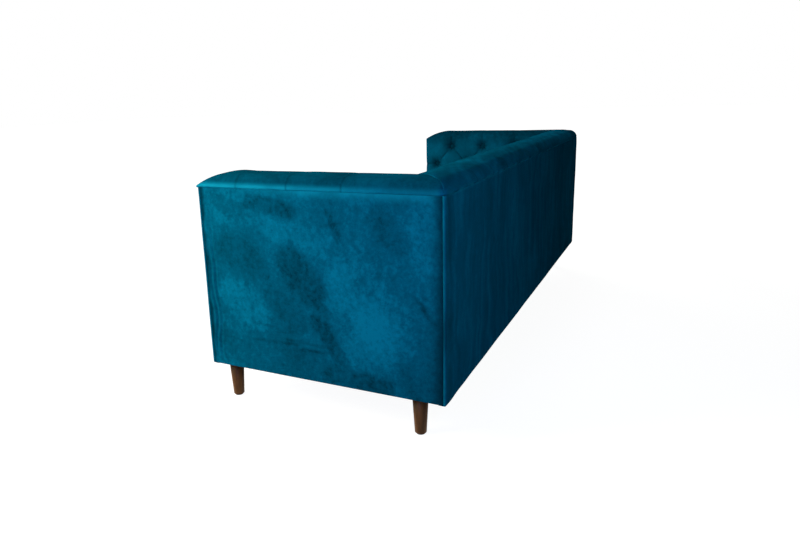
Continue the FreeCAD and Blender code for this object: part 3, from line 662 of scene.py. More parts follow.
def pleat_runs(buttons, section, first, last):
    """Straight pleats between buttons, up over the roll, down to the seat and out to both ends.

    A place is a complex number: distance across the piece, plus distance down the cover times 1j.
    """
    rows = sorted({round(button.imag, 3) for button in buttons})
    by_row = [sorted((b for b in buttons if round(b.imag, 3) == row), key=lambda b: b.real) for row in rows]
    pitch = by_row[0][1].real - by_row[0][0].real
    neighbour = 0.75 * pitch
    end_reach = 0.95 * pitch
    pleats = []
    for upper, lower in zip(by_row, by_row[1:]):
        for a in upper:
            pleats += [(a, b) for b in lower if abs(b.real - a.real) < neighbour]
    pleats += [(b, complex(b.real, 0)) for b in by_row[0]]
    pleats += [(b, complex(b.real, section.total)) for b in by_row[-1]]
    middle_row = by_row[1][0].imag
    for row in by_row:
        for button, end in ((row[0], first), (row[-1], last)):
            reach = abs(end - button.real)
            if reach < end_reach:
                side = math.copysign(1, end - button.real)
                run = min(reach, pitch / 2)
                drop = (middle_row - button.imag) * run / (pitch / 2)
                tip = complex(button.real + side * run, button.imag + drop)
                pleats += [(button, tip), (tip, complex(end, tip.imag))]
    return pleats


def crest_fade(along, section, share):
    """1 on the inside face, falling to a share over the top of the roll and to 0 at the outer seam."""
    above_face = 0.075
    crest_run = 0.085
    seam_run = 0.025
    crest = ramp(along - section.face + above_face, crest_run)
    crest = crest * crest * (3 - 2 * crest)
    return (share + (1 - share) * crest) * ramp(along, seam_run)


def tuft_field(points, buttons, pleats, weight):
    """Depth of the buttoned cover at each point, and its fold mask of painted shade along the pleats and in
    the button hollows; the weight scales the pleats.
    """
    tuft = bpy.context.scene.sofa_tuft
    to_pleat = np.full(points.shape, np.inf)
    side = np.zeros(points.shape)
    for start, end in pleats:
        off = off_run(points, start, end)
        closer = np.abs(off) < to_pleat
        to_pleat = np.where(closer, np.abs(off), to_pleat)
        side = np.where(closer, np.sign((off * np.conj(end - start)).imag), side)
    to_button = np.full(points.shape, np.inf)
    gather = np.zeros(points.shape)
    for number, button in enumerate(buttons):
        off = points - button
        closer = np.abs(off) < to_button
        to_button = np.where(closer, np.abs(off), to_button)
        gather = np.where(closer, np.cos(tuft.gathers * np.angle(off) + number), gather)
    hollow = tuft.depth * (1 - ramp(to_button - tuft.floor, tuft.reach)) ** 2.6
    valley = tuft.valley_depth * (1 - ramp(to_pleat, tuft.valley_width)) ** 2
    steep = 1.7
    gentle = 0.75
    lean = np.where(side > 0, steep, gentle)
    crease = tuft.crease_depth * bell(to_pleat * lean, tuft.crease_width)
    deep = (hollow ** 3 + (weight * (valley + crease)) ** 3) ** (1 / 3)
    ring_radius = 0.022
    ring_width = 0.011
    ring = bell(to_button - ring_radius, ring_width)
    # Painted shade: a thin dark line along each pleat, and a darkening that deepens into each button's
    # hollow.
    line_shade = 0.45
    line = line_shade * bell(to_pleat, 0.003)
    star_shade = 0.85
    star = np.clip(star_shade * (hollow / tuft.depth) * (1 + 0.20 * gather), 0, star_shade)
    return deep + tuft.gather_depth * gather * ring, np.maximum(line, star)


def round_corner(inwards, gap):
    """Rounds the roll's outer corner: new distances from the cover's own side and from the other side."""
    radius = bpy.context.scene.sofa_roll.corner
    rest = np.maximum(radius - inwards, 1e-6)
    share = np.clip((gap - inwards) / rest, 0, 1)
    turn = (1 - share) * math.pi / 4
    near = (inwards < radius) & (gap < radius)
    rounded_in = np.where(near, radius - rest * np.cos(turn), inwards)
    rounded_gap = np.where(near, radius - rest * np.sin(turn), gap)
    return rounded_in, rounded_gap


def laid_pile_and_shade(along, section, spill):
    """1 where the pile leans inwards over the top of a roll, down to a spill below the top; it darkens the
    roll's top, partly as laid pile and partly as painted shade.
    """
    past_seam = 0.011
    rise = 0.010
    fall = 0.05
    return ramp(along - past_seam, rise) * ramp(section.face + spill - along, fall)


def mitre_hollow(along, section, gap):
    """How far the top of a roll sinks towards the mitre at a rear corner."""
    roll = bpy.context.scene.sofa_roll
    on_top = ramp(along, SEAM_EASE) * ramp(section.face - along, 0.05)
    return roll.mitre_dip * on_top * close_to_end(gap, roll.mitre_reach)


def close_to_end(distance, reach):
    """1 at an end, fading to 0 at a reach from it."""
    return np.clip(1 - distance / reach, 0, 1) ** 2


def end_samples(count, dense):
    """Shares from 0 to 1, closer together below a dense share."""
    start = np.linspace(0, dense, 5)[:-1]
    return np.concatenate([start, np.linspace(dense, 1, count)])


def press_below(z, limit):
    """Heights eased down to stay below a limit."""
    soft = 0.004
    over = np.clip((z - limit) / soft, -30, 30)
    return z - soft * np.log1p(np.exp(over))


def inside_arm(name, material):
    """Cover and foam of the +X arm, from its outer seam over the roll and down to the seat."""
    roll = bpy.context.scene.sofa_roll
    section = Section(ARM)
    rear_y = BACK_Y - ARM
    rows = int(section.total / roll.step) + 1
    dense_front = 0.008
    shares = end_samples(int((rear_y - FRONT_Y) / roll.step), dense_front)
    bm, column, row = woven_grid(len(shares), rows)
    along = section.total * row / (rows - 1)
    inwards, height, out_in, out_z = section.at(along)
    end_y = BACK_Y - np.minimum(inwards, ARM)
    y = FRONT_Y + shares[column] * (end_y - FRONT_Y)
    front = y - FRONT_Y
    buttons = [complex(p.y - FRONT_Y, section.down_to(p.z)) for p in button_places("arm_buttons_left")]
    pleats = pleat_runs(buttons, section, 0.0, rear_y - FRONT_Y + ARM)
    weight = crest_fade(along, section, bpy.context.scene.sofa_tuft.arm_crest)
    depth, fold = tuft_field(front + 1j * along, buttons, pleats, weight)
    flat = (inwards, y, height)
    depth += roll.unevenness * uneven(flat, 9.0, 1) * ramp(along, SEAM_EASE)
    depth += mitre_hollow(along, section, end_y - y)
    rear_reach = 0.17
    settled = roll.arm_settle - 2 * roll.arm_settle * close_to_end(end_y - y, rear_reach)
    inwards, gap = round_corner(inwards, BACK_Y - y)
    x = SIDE_X - (inwards - depth * out_in)
    y = BACK_Y - gap
    z = height - depth * out_z
    dome = roll.dome_rise * (1 - (1 - ramp(front, roll.dome_length)) ** 1.75)
    limit = SEAM_Z + roll.front_lip + dome - settled
    z = np.where(z > TUCK_Z, press_below(z, limit), z)
    move_verts(bm, np.stack([x, y, z], 1))
    bmesh.ops.reverse_faces(bm, faces=bm.faces)
    piece = new_piece(name, bm, material)
    # Fold mask: painted shade along the pleats and in the button hollows.
    write_attribute(piece, "fold", fold)
    # Painted highlight along the roll's outer seam, stored as pile laid open, strongest at the front and
    # fading towards the back.
    fading = 1 - 0.75 * ramp(front - 0.25, 0.4)
    varied = 0.92 + 0.35 * uneven(flat, 22.0, 8)
    seam_band = np.exp(-(along / 0.012) ** 3)
    write_attribute(piece, "rub", np.clip(seam_band * fading * varied, 0, 1) * 0.95)
    return piece, along, section


def inside_back(name, material):
    """Cover and foam of the raked back between the arms, mitred to them at both ends."""
    roll = bpy.context.scene.sofa_roll
    section = Section(BACK_FOOT)
    step = roll.step * 1.4
    rows = int(section.total / step) + 1
    columns = int(2 * SIDE_X / step) + 1
    bm, column, row = woven_grid(columns, rows)
    along = section.total * row / (rows - 1)
    inwards, height, out_in, out_z = section.at(along)
    end_x = SIDE_X - np.minimum(inwards, ARM)
    x = (2 * column / (columns - 1) - 1) * end_x
    buttons = [complex(p.x, section.down_to(p.z)) for p in button_places("back_buttons")]
    pleats = pleat_runs(buttons, section, -INSIDE_X, INSIDE_X)
    weight = crest_fade(along, section, bpy.context.scene.sofa_tuft.back_crest)
    depth, fold = tuft_field(x + 1j * along, buttons, pleats, weight)
    flat = (x, inwards, height)
    depth += roll.unevenness * uneven(flat, 8.0, 2) * ramp(along, SEAM_EASE)
    depth += mitre_hollow(along, section, end_x - np.abs(x))
    inwards, gap = round_corner(inwards, SIDE_X - np.abs(x))
    x = np.sign(x) * (SIDE_X - gap)
    y = BACK_Y - (inwards - depth * out_in)
    z = height - depth * out_z
    move_verts(bm, np.stack([x, y, z], 1))
    piece = new_piece(name, bm, material)
    # Fold mask: painted shade along the pleats and in the button hollows.
    write_attribute(piece, "fold", fold)
    # Painted highlight along the roll's outer seam, in patches, stored as pile laid open.
    write_attribute(piece, "rub", bell(along, 0.005) * patches(flat, 30.0, 9, 0.35, 0.9) * 0.65)
    # Darkens the roll's top in slanted streaks: laid pile, and painted shade.
    slanted = (22 * x + 56 * along, 3 * along - 7 * x, 0)
    strokes = 0.10 + 0.42 * uneven(slanted, 1.0, 12)
    write_attribute(piece, "sweep", laid_pile_and_shade(along, section, 0.010) * strokes)
    return piece


def covered_buttons(name, node, facing, material):
    """Velvet-covered buttons, turned from one profile and set on the floors of their hollows."""
    tuft = bpy.context.scene.sofa_tuft
    middle = tuft.button_rise / 2
    profile = []
    for step in range(7):
        bend = math.radians(90 - 15 * step)
        rise = tuft.button_rise * (0.25 + 0.75 * math.sin(bend))
        profile.append((tuft.button_radius * math.cos(bend), rise - middle))
    profile += [(tuft.button_radius * 0.93, -middle), (0.0, -middle)]
    turn = UP.rotation_difference(facing).to_matrix().to_4x4()
    bm = bmesh.new()
    for place in button_places(node):
        turn_profile(bm, profile, 20)
        fresh = [vert for vert in bm.verts if not vert.tag]
        bmesh.ops.transform(bm, matrix=Matrix.Translation(place) @ turn, verts=fresh)
        for vert in fresh:
            vert.tag = True
    bmesh.ops.remove_doubles(bm, verts=bm.verts, dist=1e-6)
    bmesh.ops.recalc_face_normals(bm, faces=bm.faces)
    piece = new_piece(name, bm, material)
    # Painted shade darkens each whole button, sunk in its hollow.
    write_attribute(piece, "fold", np.full(len(piece.data.vertices), 0.55))
    return piece


# Flat covers


def edge_profile(low, high, low_turn, high_turn, step):
    """Places along a panel and how far behind it they lie, for cloth that turns round both edges.

    A turn is (radius, run of cloth behind the edge).
    """
    quarter = np.linspace(0, math.pi / 2, 7)
    low_radius, low_run = low_turn
    high_radius, high_run = high_turn
    count = max(2, int((high - low) / step))
    flat = np.linspace(low + low_radius, high - high_radius, count)
    place = np.concatenate([
        [low, low],
        low + low_radius * (1 - np.sin(quarter[::-1]))[1:-1],
        flat,
        high - high_radius * (1 - np.sin(quarter))[1:-1],
        [high, high],
    ])
    drop = np.concatenate([
        [low_radius + low_run, low_radius],
        low_radius * (1 - np.cos(quarter[::-1]))[1:-1],
        np.zeros(count),
        high_radius * (1 - np.cos(quarter))[1:-1],
        [high_radius, high_radius + high_run],
    ])
    return place, drop


def turned_panel(name, facing, distance, across, up, material, relief):
    """A flat cover whose edges turn back; across and up are edge profiles, and the relief lifts the cloth."""
    bm, column, row = woven_grid(len(across[0]), len(up[0]))
    a = across[0][column]
    b = up[0][row]
    drop = across[1][column] + up[1][row] - relief(a, b)
    places = np.outer(a, UP.cross(facing)) + np.outer(b, UP) + np.outer(distance - drop, facing)
    move_verts(bm, places)
    return new_piece(name, bm, material), a, b


def cloth_slack(a, b, scale, seed):
    """Gentle waviness of stretched cloth."""
    return bpy.context.scene.sofa_panel.waviness * uneven((a, b * 0.6, 0), scale, seed)


def outside_arm(name, material):
    """Flat cover outside the +X arm, rippled beside its front edge, with painted shade along its front and
    rear edges and a painted highlight below the seam, stored as pile laid open.
    """
    panel = bpy.context.scene.sofa_panel
    rear = BACK_Y - panel.back_edge
    step = panel.step * 0.65
    soft = (panel.soft_turn, panel.hem)
    across = edge_profile(FRONT_Y + panel.cloth, rear, soft, (panel.rear_turn, panel.hem), step)
    up = edge_profile(HEM_Z, SEAM_Z, (panel.hem_turn, panel.hem), (panel.seam_turn, panel.hem), step)

    def relief(a, b):
        beside_front = bell(a - FRONT_Y - 0.036, 0.020) * ramp(0.62 - b, 0.2)
        above_hem = ramp(b - HEM_Z - 0.008, 0.05)
        wander = 2.2 * np.sin(b * 16) + 1.2 * np.sin(b * 37)
        ripple_height = 0.0026
        ripples = ripple_height * beside_front * above_hem * np.sin((a - FRONT_Y) * 360 + wander)
        return cloth_slack(a, b, 7.0, 3) * ramp(b - HEM_Z, 0.03) + ripples

    piece, a, b = turned_panel(name, LEFT, SIDE_X, across, up, material, relief)
    # Painted shade along the wavy front edge and in the groove at the rear edge.
    wavy = 0.014 + 0.003 * np.sin(b * 31) + 0.002 * np.sin(b * 83)
    front_edge_shade = 0.75 * ramp(FRONT_Y + wavy + 0.010 - a, 0.010)
    rear_groove_shade = 0.85 * bell(a - rear, 0.027)
    write_attribute(piece, "fold", np.maximum(front_edge_shade, rear_groove_shade))
    # Painted highlight below the seam, towards the rear, stored as pile laid open.
    rearwards = ramp(a + 0.27, 0.22) * ramp(rear - a, 0.05)
    below_seam = 0.46 * bell(SEAM_Z - b, 0.017)
    write_attribute(piece, "rub", below_seam * rearwards * patches((a, b, 0), 24.0, 14, 0.8, 0.6))
    return piece, a, b


def brush_strokes(a, b):
    """Hand strokes left in the pile of the near arm, as (y, z) from, (y, z) to, width and darkness."""
    strokes = (
        ((-0.320, 0.660), (-0.240, 0.640), 0.030, 0.35),
        ((-0.205, 0.668), (-0.070, 0.645), 0.026, 0.55),
        ((0.050, 0.655), (0.075, 0.600), 0.005, 0.30),
        ((0.066, 0.640), (0.092, 0.572), 0.005, 0.40),
        ((0.058, 0.628), (0.085, 0.562), 0.004, 0.35),
        ((0.078, 0.622), (0.102, 0.575), 0.004, 0.25),
        ((0.030, 0.606), (0.105, 0.624), 0.004, 0.25),
        ((-0.075, 0.500), (-0.005, 0.410), 0.055, 0.55),
        ((0.000, 0.400), (0.040, 0.345), 0.018, 0.40),
        ((0.008, 0.325), (0.088, 0.205), 0.026, 0.60),
        ((-0.140, 0.385), (-0.060, 0.310), 0.045, 0.35),
        ((-0.226, 0.236), (-0.060, 0.240), 0.005, 0.30),
        ((-0.100, 0.253), (0.050, 0.243), 0.006, 0.30),
        ((-0.050, 0.225), (0.040, 0.231), 0.005, 0.25),
        ((-0.215, 0.292), (-0.150, 0.286), 0.004, 0.25),
        ((0.050, 0.165), (0.220, 0.150), 0.034, 0.55),
        ((0.318, 0.428), (0.368, 0.362), 0.007, 0.40),
        ((0.296, 0.425), (0.335, 0.395), 0.020, 0.25),
        ((-0.290, 0.540), (-0.200, 0.470), 0.055, 0.30),
        ((-0.330, 0.170), (-0.330, 0.230), 0.034, 0.30),
        ((0.210, 0.640), (0.270, 0.570), 0.040, 0.30),
        ((-0.290, 0.380), (-0.220, 0.330), 0.065, -0.45),
        ((0.130, 0.460), (0.240, 0.300), 0.085, -0.40),
        ((-0.120, 0.590), (0.020, 0.560), 0.045, -0.30),
        ((0.340, 0.660), (0.350, 0.540), 0.050, -0.22),
        ((0.320, 0.270), (0.370, 0.160), 0.095, 0.32),
    )
    frayed = 0.26 * uneven((a, b, 0), 48.0, 15) + 0.16 * uneven((a, b, 0), 130.0, 16)
    sweep = np.zeros(a.shape)
    for start, end, width, strength in strokes:
        off = np.abs(off_run(a + 1j * b, complex(*start), complex(*end)))
        core = bell(off, width)
        sweep += strength * ramp(core + frayed - 0.28, 0.34) * ramp(core, 0.15)
    return np.clip(sweep, -0.45, 0.65)


def outside_back(name, material):
    """Flat cover outside the back, puckered below its seam and dragged at its corners, with painted shade
    beside its corners and a painted highlight along its side edges and seam, stored as pile laid open.
    """
    panel = bpy.context.scene.sofa_panel
    crisp = (panel.crisp_turn, panel.back_edge)
    across = edge_profile(-SIDE_X, SIDE_X, crisp, crisp, panel.step)
    up = edge_profile(HEM_Z, SEAM_Z, (panel.hem_turn, panel.hem), (panel.seam_turn, panel.hem), panel.step)

    def relief(a, b):
        inset = SIDE_X - np.abs(a)
        pucker_height = 0.0016
        puckers = pucker_height * bell(SEAM_Z - b, 0.02) * uneven((a, 0, 0), 26.0, 5)
        corner = np.exp(-inset / 0.10) * ramp(inset, 0.02)
        drag_height = 0.0014
        drags = drag_height * corner * np.sin(55 * (b - 0.8 * np.abs(a)) + 2 * np.sin(b * 17))
        return cloth_slack(a, b, 5.0, 4) + puckers + drags

    piece, a, b = turned_panel(name, REARWARD, BACK_Y, across, up, material, relief)
    inset = SIDE_X - np.abs(a)
    # Painted highlight along the side edges and the top seam, stored as pile laid open.
    edge = bell(inset, 0.0025) * 0.12
    top = bell(SEAM_Z - b, 0.003) * (0.10 + 0.30 * ramp(0.3 - a, 0.8))
    write_attribute(piece, "rub", np.maximum(edge, top) * patches((a, b, 0), 40.0, 10, 0.6, 0.6))
    # Painted shade in a band beside each side edge, and on the edge itself around 0.34 m up.
    corner_shade = 0.45 * bell(inset - 0.03, 0.028) * patches((a, 0, b), 9.0, 13, 0.6, 1.0)
    edge_shade = 0.6 * bell(inset, 0.008) * bell(b - 0.34, 0.07)
    write_attribute(piece, "fold", np.maximum(corner_shade, edge_shade))
    return piece


def arm_front(name, material):
    """Cover of the +X arm's front."""
    panel = bpy.context.scene.sofa_panel
    soft = (panel.soft_turn * 0.7, panel.cloth)
    top_z = SEAM_Z + bpy.context.scene.sofa_roll.front_lip
    across = edge_profile(INSIDE_X, SIDE_X, soft, soft, panel.step)
    up = edge_profile(HEM_Z, top_z, (panel.hem_turn, panel.hem), soft, panel.step)

    def relief(a, b):
        return cloth_slack(a, b, 9.0, 6)

    return turned_panel(name, -REARWARD, -FRONT_Y, across, up, material, relief)[0]


def front_border(name, material):
    """Cover of the front rail, between the arms and back over the deck's lip."""
    panel = bpy.context.scene.sofa_panel
    crisp = (panel.crisp_turn, 0.004)
    over_lip = (panel.soft_turn, LIP_Y - FRONT_Y - panel.soft_turn)
    across = edge_profile(-INSIDE_X, INSIDE_X, crisp, crisp, panel.step)
    up = edge_profile(HEM_Z, DECK_Z, (panel.hem_turn, panel.hem), over_lip, panel.step)

    def relief(a, b):
        return cloth_slack(a, b, 6.0, 7)

    return turned_panel(name, -REARWARD, -FRONT_Y, across, up, material, relief)[0]


# Cushions


def cushion_form():
    """The middle cushion before it swells: a rounded box, and the corners of the cover it stands for."""
    cushion = bpy.context.scene.sofa_cushion
    low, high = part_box("cushion_cover_2")
    inset = cushion.slack
    bm = bmesh.new()
    bmesh.ops.create_cube(bm, size=1.0)
    size = high - low
    bmesh.ops.scale(bm, vec=(size.x - 2 * inset, size.y - 2 * inset, size.z - 2 * inset), verts=bm.verts)
    bmesh.ops.translate(bm, vec=(low + high) / 2, verts=bm.verts)
    bmesh.ops.bevel(
        bm, geom=bm.edges, offset=cushion.edge, offset_type="OFFSET", segments=4, profile=0.5,
        affect="EDGES", material=-1)
    return bm, low, high


def swell(piece, limit):
    """Fills a closed piece with air as cloth, capped at a limit, and keeps the result in its mesh."""
    rest = np.array([vert.co for vert in piece.data.vertices])
    cloth = piece.modifiers.new("swell", "CLOTH")
    cloth.settings.use_pressure = True
    cloth.settings.uniform_pressure_force = 4.0
    cloth.settings.effector_weights.gravity = 0.0
    cloth.settings.mass = 0.4
    cloth.settings.quality = 5
    for number in range(1, 21):
        bpy.context.scene.frame_set(number)
    shown = piece.evaluated_get(bpy.context.evaluated_depsgraph_get())
    swollen = np.array([vert.co for vert in shown.data.vertices])
    piece.modifiers.remove(cloth)
    bpy.context.scene.frame_set(1)
    move = swollen - rest
    size = np.linalg.norm(move, axis=1, keepdims=True)
    move *= np.minimum(1, limit / np.maximum(size, 1e-9))
    piece.data.vertices.foreach_set("co", (rest + move).astype(np.float32).ravel())
    piece.data.update()


def remeshed(piece, voxel):
    """Gives a piece an even mesh in place of its own, and returns it."""
    remesh = piece.modifiers.new("remesh", "REMESH")
    remesh.mode = "VOXEL"
    remesh.voxel_size = voxel
    shown = piece.evaluated_get(bpy.context.evaluated_depsgraph_get())
    mesh = bpy.data.meshes.new_from_object(shown)
    piece.modifiers.clear()
    old = piece.data
    piece.data = mesh
    bpy.data.meshes.remove(old)
    mesh.name = piece.name
    return mesh


def border_seams(rest, low, high):
    """1 along the upper and along the lower border seam of a cushion, fading to 0 beside them."""
    cushion = bpy.context.scene.sofa_cushion
    inset = cushion.slack
    from_side = np.minimum(high.x - inset - np.abs(rest[:, 0]),
                           np.minimum(rest[:, 1] - low.y, high.y - rest[:, 1]) - inset)
    seams = []
    for from_face in (high.z - inset - rest[:, 2], rest[:, 2] - low.z - inset):
        near = np.maximum(from_side, from_face) < cushion.edge * 1.2
        off = np.where(near, np.abs(from_side - from_face), 1.0)
        seams.append(bell(off, cushion.seam_width))
    return seams


def seat_cushion(material):
    """The middle cushion, swollen, sewn along its borders and leaned against the raked back."""
    cushion = bpy.context.scene.sofa_cushion
    bm, low, high = cushion_form()
    piece = new_piece("seat_cushion_2", bm, material)
    mesh = remeshed(piece, cushion.voxel)
    rest = np.array([vert.co for vert in mesh.vertices])
    swell(piece, cushion.swell)
    places = np.array([vert.co for vert in mesh.vertices])
    normals = np.array([vert.normal for vert in mesh.vertices])
    fold = np.zeros(len(places))
    # Painted shade in the border seams, stored in the fold mask.
    for groove in border_seams(rest, low, high):
        places -= normals * (cushion.seam_depth * groove)[:, None]
        fold = np.maximum(fold, 0.55 * groove)
    least = places.min(0)
    most = places.max(0)
    places = np.array(low) + (places - least) / (most - least) * np.array(high - low)
    top = places[:, 2] - low.z
    share = ramp(places[:, 1] - low.y, high.y - low.y)
    lean = RAKE * (high.z - low.z - top)
    places[:, 1] = np.maximum(places[:, 1] - share * lean, low.y)
    mesh.vertices.foreach_set("co", places.astype(np.float32).ravel())
    for polygon in mesh.polygons:
        polygon.use_smooth = True
    mesh.materials.clear()
    mesh.materials.append(material)
    write_attribute(piece, "fold", fold)
    mesh.update()
    return piece


# Legs


def turned_leg(name, node, material):
    """A tapered round leg, turned from one profile."""
    shape = bpy.context.scene.sofa_wood
    low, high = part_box(node)
    middle = (low + high) / 2
    rounding = shape.foot_rounding
    profile = [(0.0, low.z)]
    for step in range(7):
        bend = math.radians(-90 + 15 * step)
        radius = shape.foot_radius - rounding * (1 - math.cos(bend))
        profile.append((radius, low.z + rounding * (1 + math.sin(bend))))
    profile += [((high.x - low.x) / 2, high.z), (0.0, high.z)]
    bm = bmesh.new()
    turn_profile(bm, profile, 64)
    bmesh.ops.remove_doubles(bm, verts=bm.verts, dist=1e-6)
    bmesh.ops.recalc_face_normals(bm, faces=bm.faces)
    bmesh.ops.translate(bm, vec=(middle.x, middle.y, 0), verts=bm.verts)
    return new_piece(name, bm, material)


# Stage


# Each lamp: its power's setting, place, target, width and tint
LAMPS = (
    ("key", (1.95, -1.25, 1.3), (SIDE_X, -0.05, 0.5), 1.0, (1.0, 1.0, 0.73)),
    ("side", (2.5, 0.36, 0.9), (SIDE_X, 0.3, 0.5), 0.6, (0.05, 0.25, 1.0)),
    ("far", (-2.3, -1.0, 0.62), (-SIDE_X, -0.05, 0.42), 1.0, (1.0, 1.0, 0.85)),
    ("fill", (1.5, 1.4, 1.15), (0.8, BACK_Y, 0.45), 0.8, (0.50, 0.82, 0.97)),
    ("front", (0.2, -3.1, 1.7), (0.0, 0.0, 0.45), 1.8, (1.0, 1.0, 1.0)),
    ("top", (-0.5, 0.0, 2.4), (-0.3, 0.2, 0.7), 0.8, (1.0, 1.0, 0.97)),
)


class SOFA_OT_stage(bpy.types.Operator):
    """Camera, lamps, white surroundings and a pale floor"""
    bl_idname = "sofa.stage"
    bl_label = "Stage"

    def execute(self, context):
        stage = context.scene.sofa_stage
        context.scene.view_settings.view_transform = "Standard"
        add_camera(stage)
        for name, place, target, width, tint in LAMPS:
            add_lamp(name, place, target, width, getattr(stage, name), tint)
        surround_white(context.scene, stage.ambient)
        add_floor(stage)
        return {"FINISHED"}


def add_camera(stage):
    """The camera, from its place, heading, dip and roll."""
    ahead = Vector((
        math.sin(stage.heading) * math.cos(stage.dip),
        math.cos(stage.heading) * math.cos(stage.dip),
        -math.sin(stage.dip),
    ))
    right = Vector((math.cos(stage.heading), -math.sin(stage.heading), 0))
    up = right.cross(ahead)
    tilted_right = math.cos(stage.roll) * right + math.sin(stage.roll) * up
    tilted_up = -math.sin(stage.roll) * right + math.cos(stage.roll) * up
    data = bpy.data.cameras.new("camera")
    data.sensor_width = 36.0
    data.sensor_fit = "HORIZONTAL"
    data.lens = stage.lens
    data.shift_x, data.shift_y = stage.shift
    camera = bpy.data.objects.new("camera", data)
    turn = Matrix((tilted_right, tilted_up, -ahead)).transposed().to_4x4()
    camera.matrix_world = Matrix.Translation(Vector(stage.camera_place)) @ turn
    bpy.context.scene.collection.objects.link(camera)
    bpy.context.scene.camera = camera


def add_lamp(name, place, target, width, watts, tint):
    """A round lamp that shines from its place at a target."""
    data = bpy.data.lights.new(name, "AREA")
    data.shape = "DISK"
    data.size = width
    data.energy = watts
    data.color = tint
    lamp = bpy.data.objects.new(name, data)
    lamp.location = place
    lamp.rotation_euler = (Vector(target) - Vector(place)).to_track_quat("-Z", "Y").to_euler()
    bpy.context.scene.collection.objects.link(lamp)


def white_rays(nodes):
    """1 for rays that should see a white surround: camera, glossy and transmission rays."""
    path = nodes.add("LightPath").outputs
    seen = nodes.math("MAXIMUM", path["Is Camera Ray"], path["Is Glossy Ray"])
    return nodes.math("MAXIMUM", seen, path["Is Transmission Ray"])


def surround_white(scene, ambient):
    """White to look at on all sides, which gives only a little light."""
    world = bpy.data.worlds.new("surround")
    scene.world = world
    world.use_nodes = True
    nodes = Nodes(world.node_tree)
    end = world.node_tree.nodes["World Output"]
    soft = world.node_tree.nodes["Background"]
    soft.inputs["Color"].default_value = (1, 1, 1, 1)
    soft.inputs["Strength"].default_value = ambient
    white = nodes.add("Background", {"Color": (1, 1, 1, 1), "Strength": 1.0})
    mixed = nodes.add("MixShader", {0: white_rays(nodes), 1: soft.outputs[0], 2: white.outputs[0]})
    nodes.tree.links.new(mixed.outputs[0], end.inputs["Surface"])


def add_floor(stage):
    """A wide pale floor that shows white to the camera and still takes the sofa's shadow."""
    material = bpy.data.materials.new("pale_floor")
    material.use_nodes = True
    nodes = Nodes(material.node_tree)
    shader = material.node_tree.nodes["Principled BSDF"]
    end = material.node_tree.nodes["Material Output"]
    shader.inputs["Base Color"].default_value = rgba(stage.floor)
    shader.inputs["Roughness"].default_value = 0.9
    where = nodes.add("TexCoord").outputs["Object"]
    away = nodes.add("VectorMath", {0: where}, operation="LENGTH").outputs["Value"]
    glow = nodes.range(away, 1.6, 3.2, 1.52, 1.7)
    white = nodes.add("Emission", {"Color": (1, 1, 1, 1), "Strength": glow})
    share = nodes.math("MULTIPLY", white_rays(nodes), 0.62)
    mixed = nodes.add("MixShader", {0: share, 1: shader.outputs[0], 2: white.outputs[0]})
    nodes.tree.links.new(mixed.outputs[0], end.inputs["Surface"])
    bm = bmesh.new()
    bmesh.ops.create_grid(bm, x_segments=1, y_segments=1, size=30.0)
    new_piece("floor", bm, material, smooth=False)


# Operators of the pieces


class SOFA_OT_outside(bpy.types.Operator):
    """Flat covers of the outside arms and the outside back"""
    bl_idname = "sofa.outside"
    bl_label = "Outside covers"

    def execute(self, context):
        arm_velvet = velvet("velvet_outside_arm", 1.5, {
            "Patches": 5.0, "Swipe Weight": 0.30, "Mottle Weight": 0.95, "Streak Weight": 0.20,
            "Fleck Weight": 0.13})
        left, a, b = outside_arm("outside_arm_left", arm_velvet)
        right = new_piece("outside_arm_right", mirrored_bmesh(left), arm_velvet)
        write_attribute(left, "sweep", brush_strokes(a, b))
        write_attribute(right, "sweep", brush_strokes(-a, b))
        back_velvet = velvet("velvet_outside_back", 1.1, {
            "Patches": 3.0, "Streak Weight": 1.3, "Swipe Weight": 0.0})
        back = outside_back("outside_back", back_velvet)
        cover(left, ["outside_arm_cover_left"])
        cover(right, ["outside_arm_cover_right"])
        cover(back, ["outside_back_cover", "outer_wadding"])
        return {"FINISHED"}


class SOFA_OT_inside(bpy.types.Operator):
    """Buttoned covers of the inside arms and the inside back, with their top rolls"""
    bl_idname = "sofa.inside"
    bl_label = "Buttoned inside"

    def execute(self, context):
        soft = velvet("velvet_inside", 1.05, {
            "Patches": 7.0, "Mottle Weight": 0.35, "Streak Weight": 0.25})
        left, along, section = inside_arm("inside_arm_left", soft)
        right = new_piece("inside_arm_right", mirrored_bmesh(left), soft)
        # The tops of both arms are darkened, partly as laid pile and partly as painted shade; the far arm
        # gets a darker and wider band and extra fold shade, all painted shade.
        write_attribute(left, "sweep", 0.46 * laid_pile_and_shade(along, section, 0.010))
        write_attribute(right, "sweep", 0.65 * laid_pile_and_shade(along, section, 0.035))
        paint_shade(right, 0.35 * laid_pile_and_shade(along, section, -0.005))
        for piece, side in ((left, "left"), (right, "right")):
            cover(piece, [f"inside_arm_cover_{side}", f"arm_foam_{side}"])
        back = inside_back("inside_back", soft)
        cover(back, ["inside_back_cover", "back_foam"])
        return {"FINISHED"}


class SOFA_OT_buttons(bpy.types.Operator):
    """Velvet-covered buttons of the arms and the back"""
    bl_idname = "sofa.buttons"
    bl_label = "Buttons"

    def execute(self, context):
        soft = velvet("velvet_buttons", 1.0, {"Patches": 9.0, "Swipe Weight": 0.0})
        groups = {
            "arm_buttons_left": -LEFT,
            "arm_buttons_right": LEFT,
            "back_buttons": Vector((0, -1, RAKE)).normalized(),
        }
        for node, facing in groups.items():
            piece = covered_buttons("covered_" + node, node, facing, soft)
            settle(piece, [node])
        return {"FINISHED"}


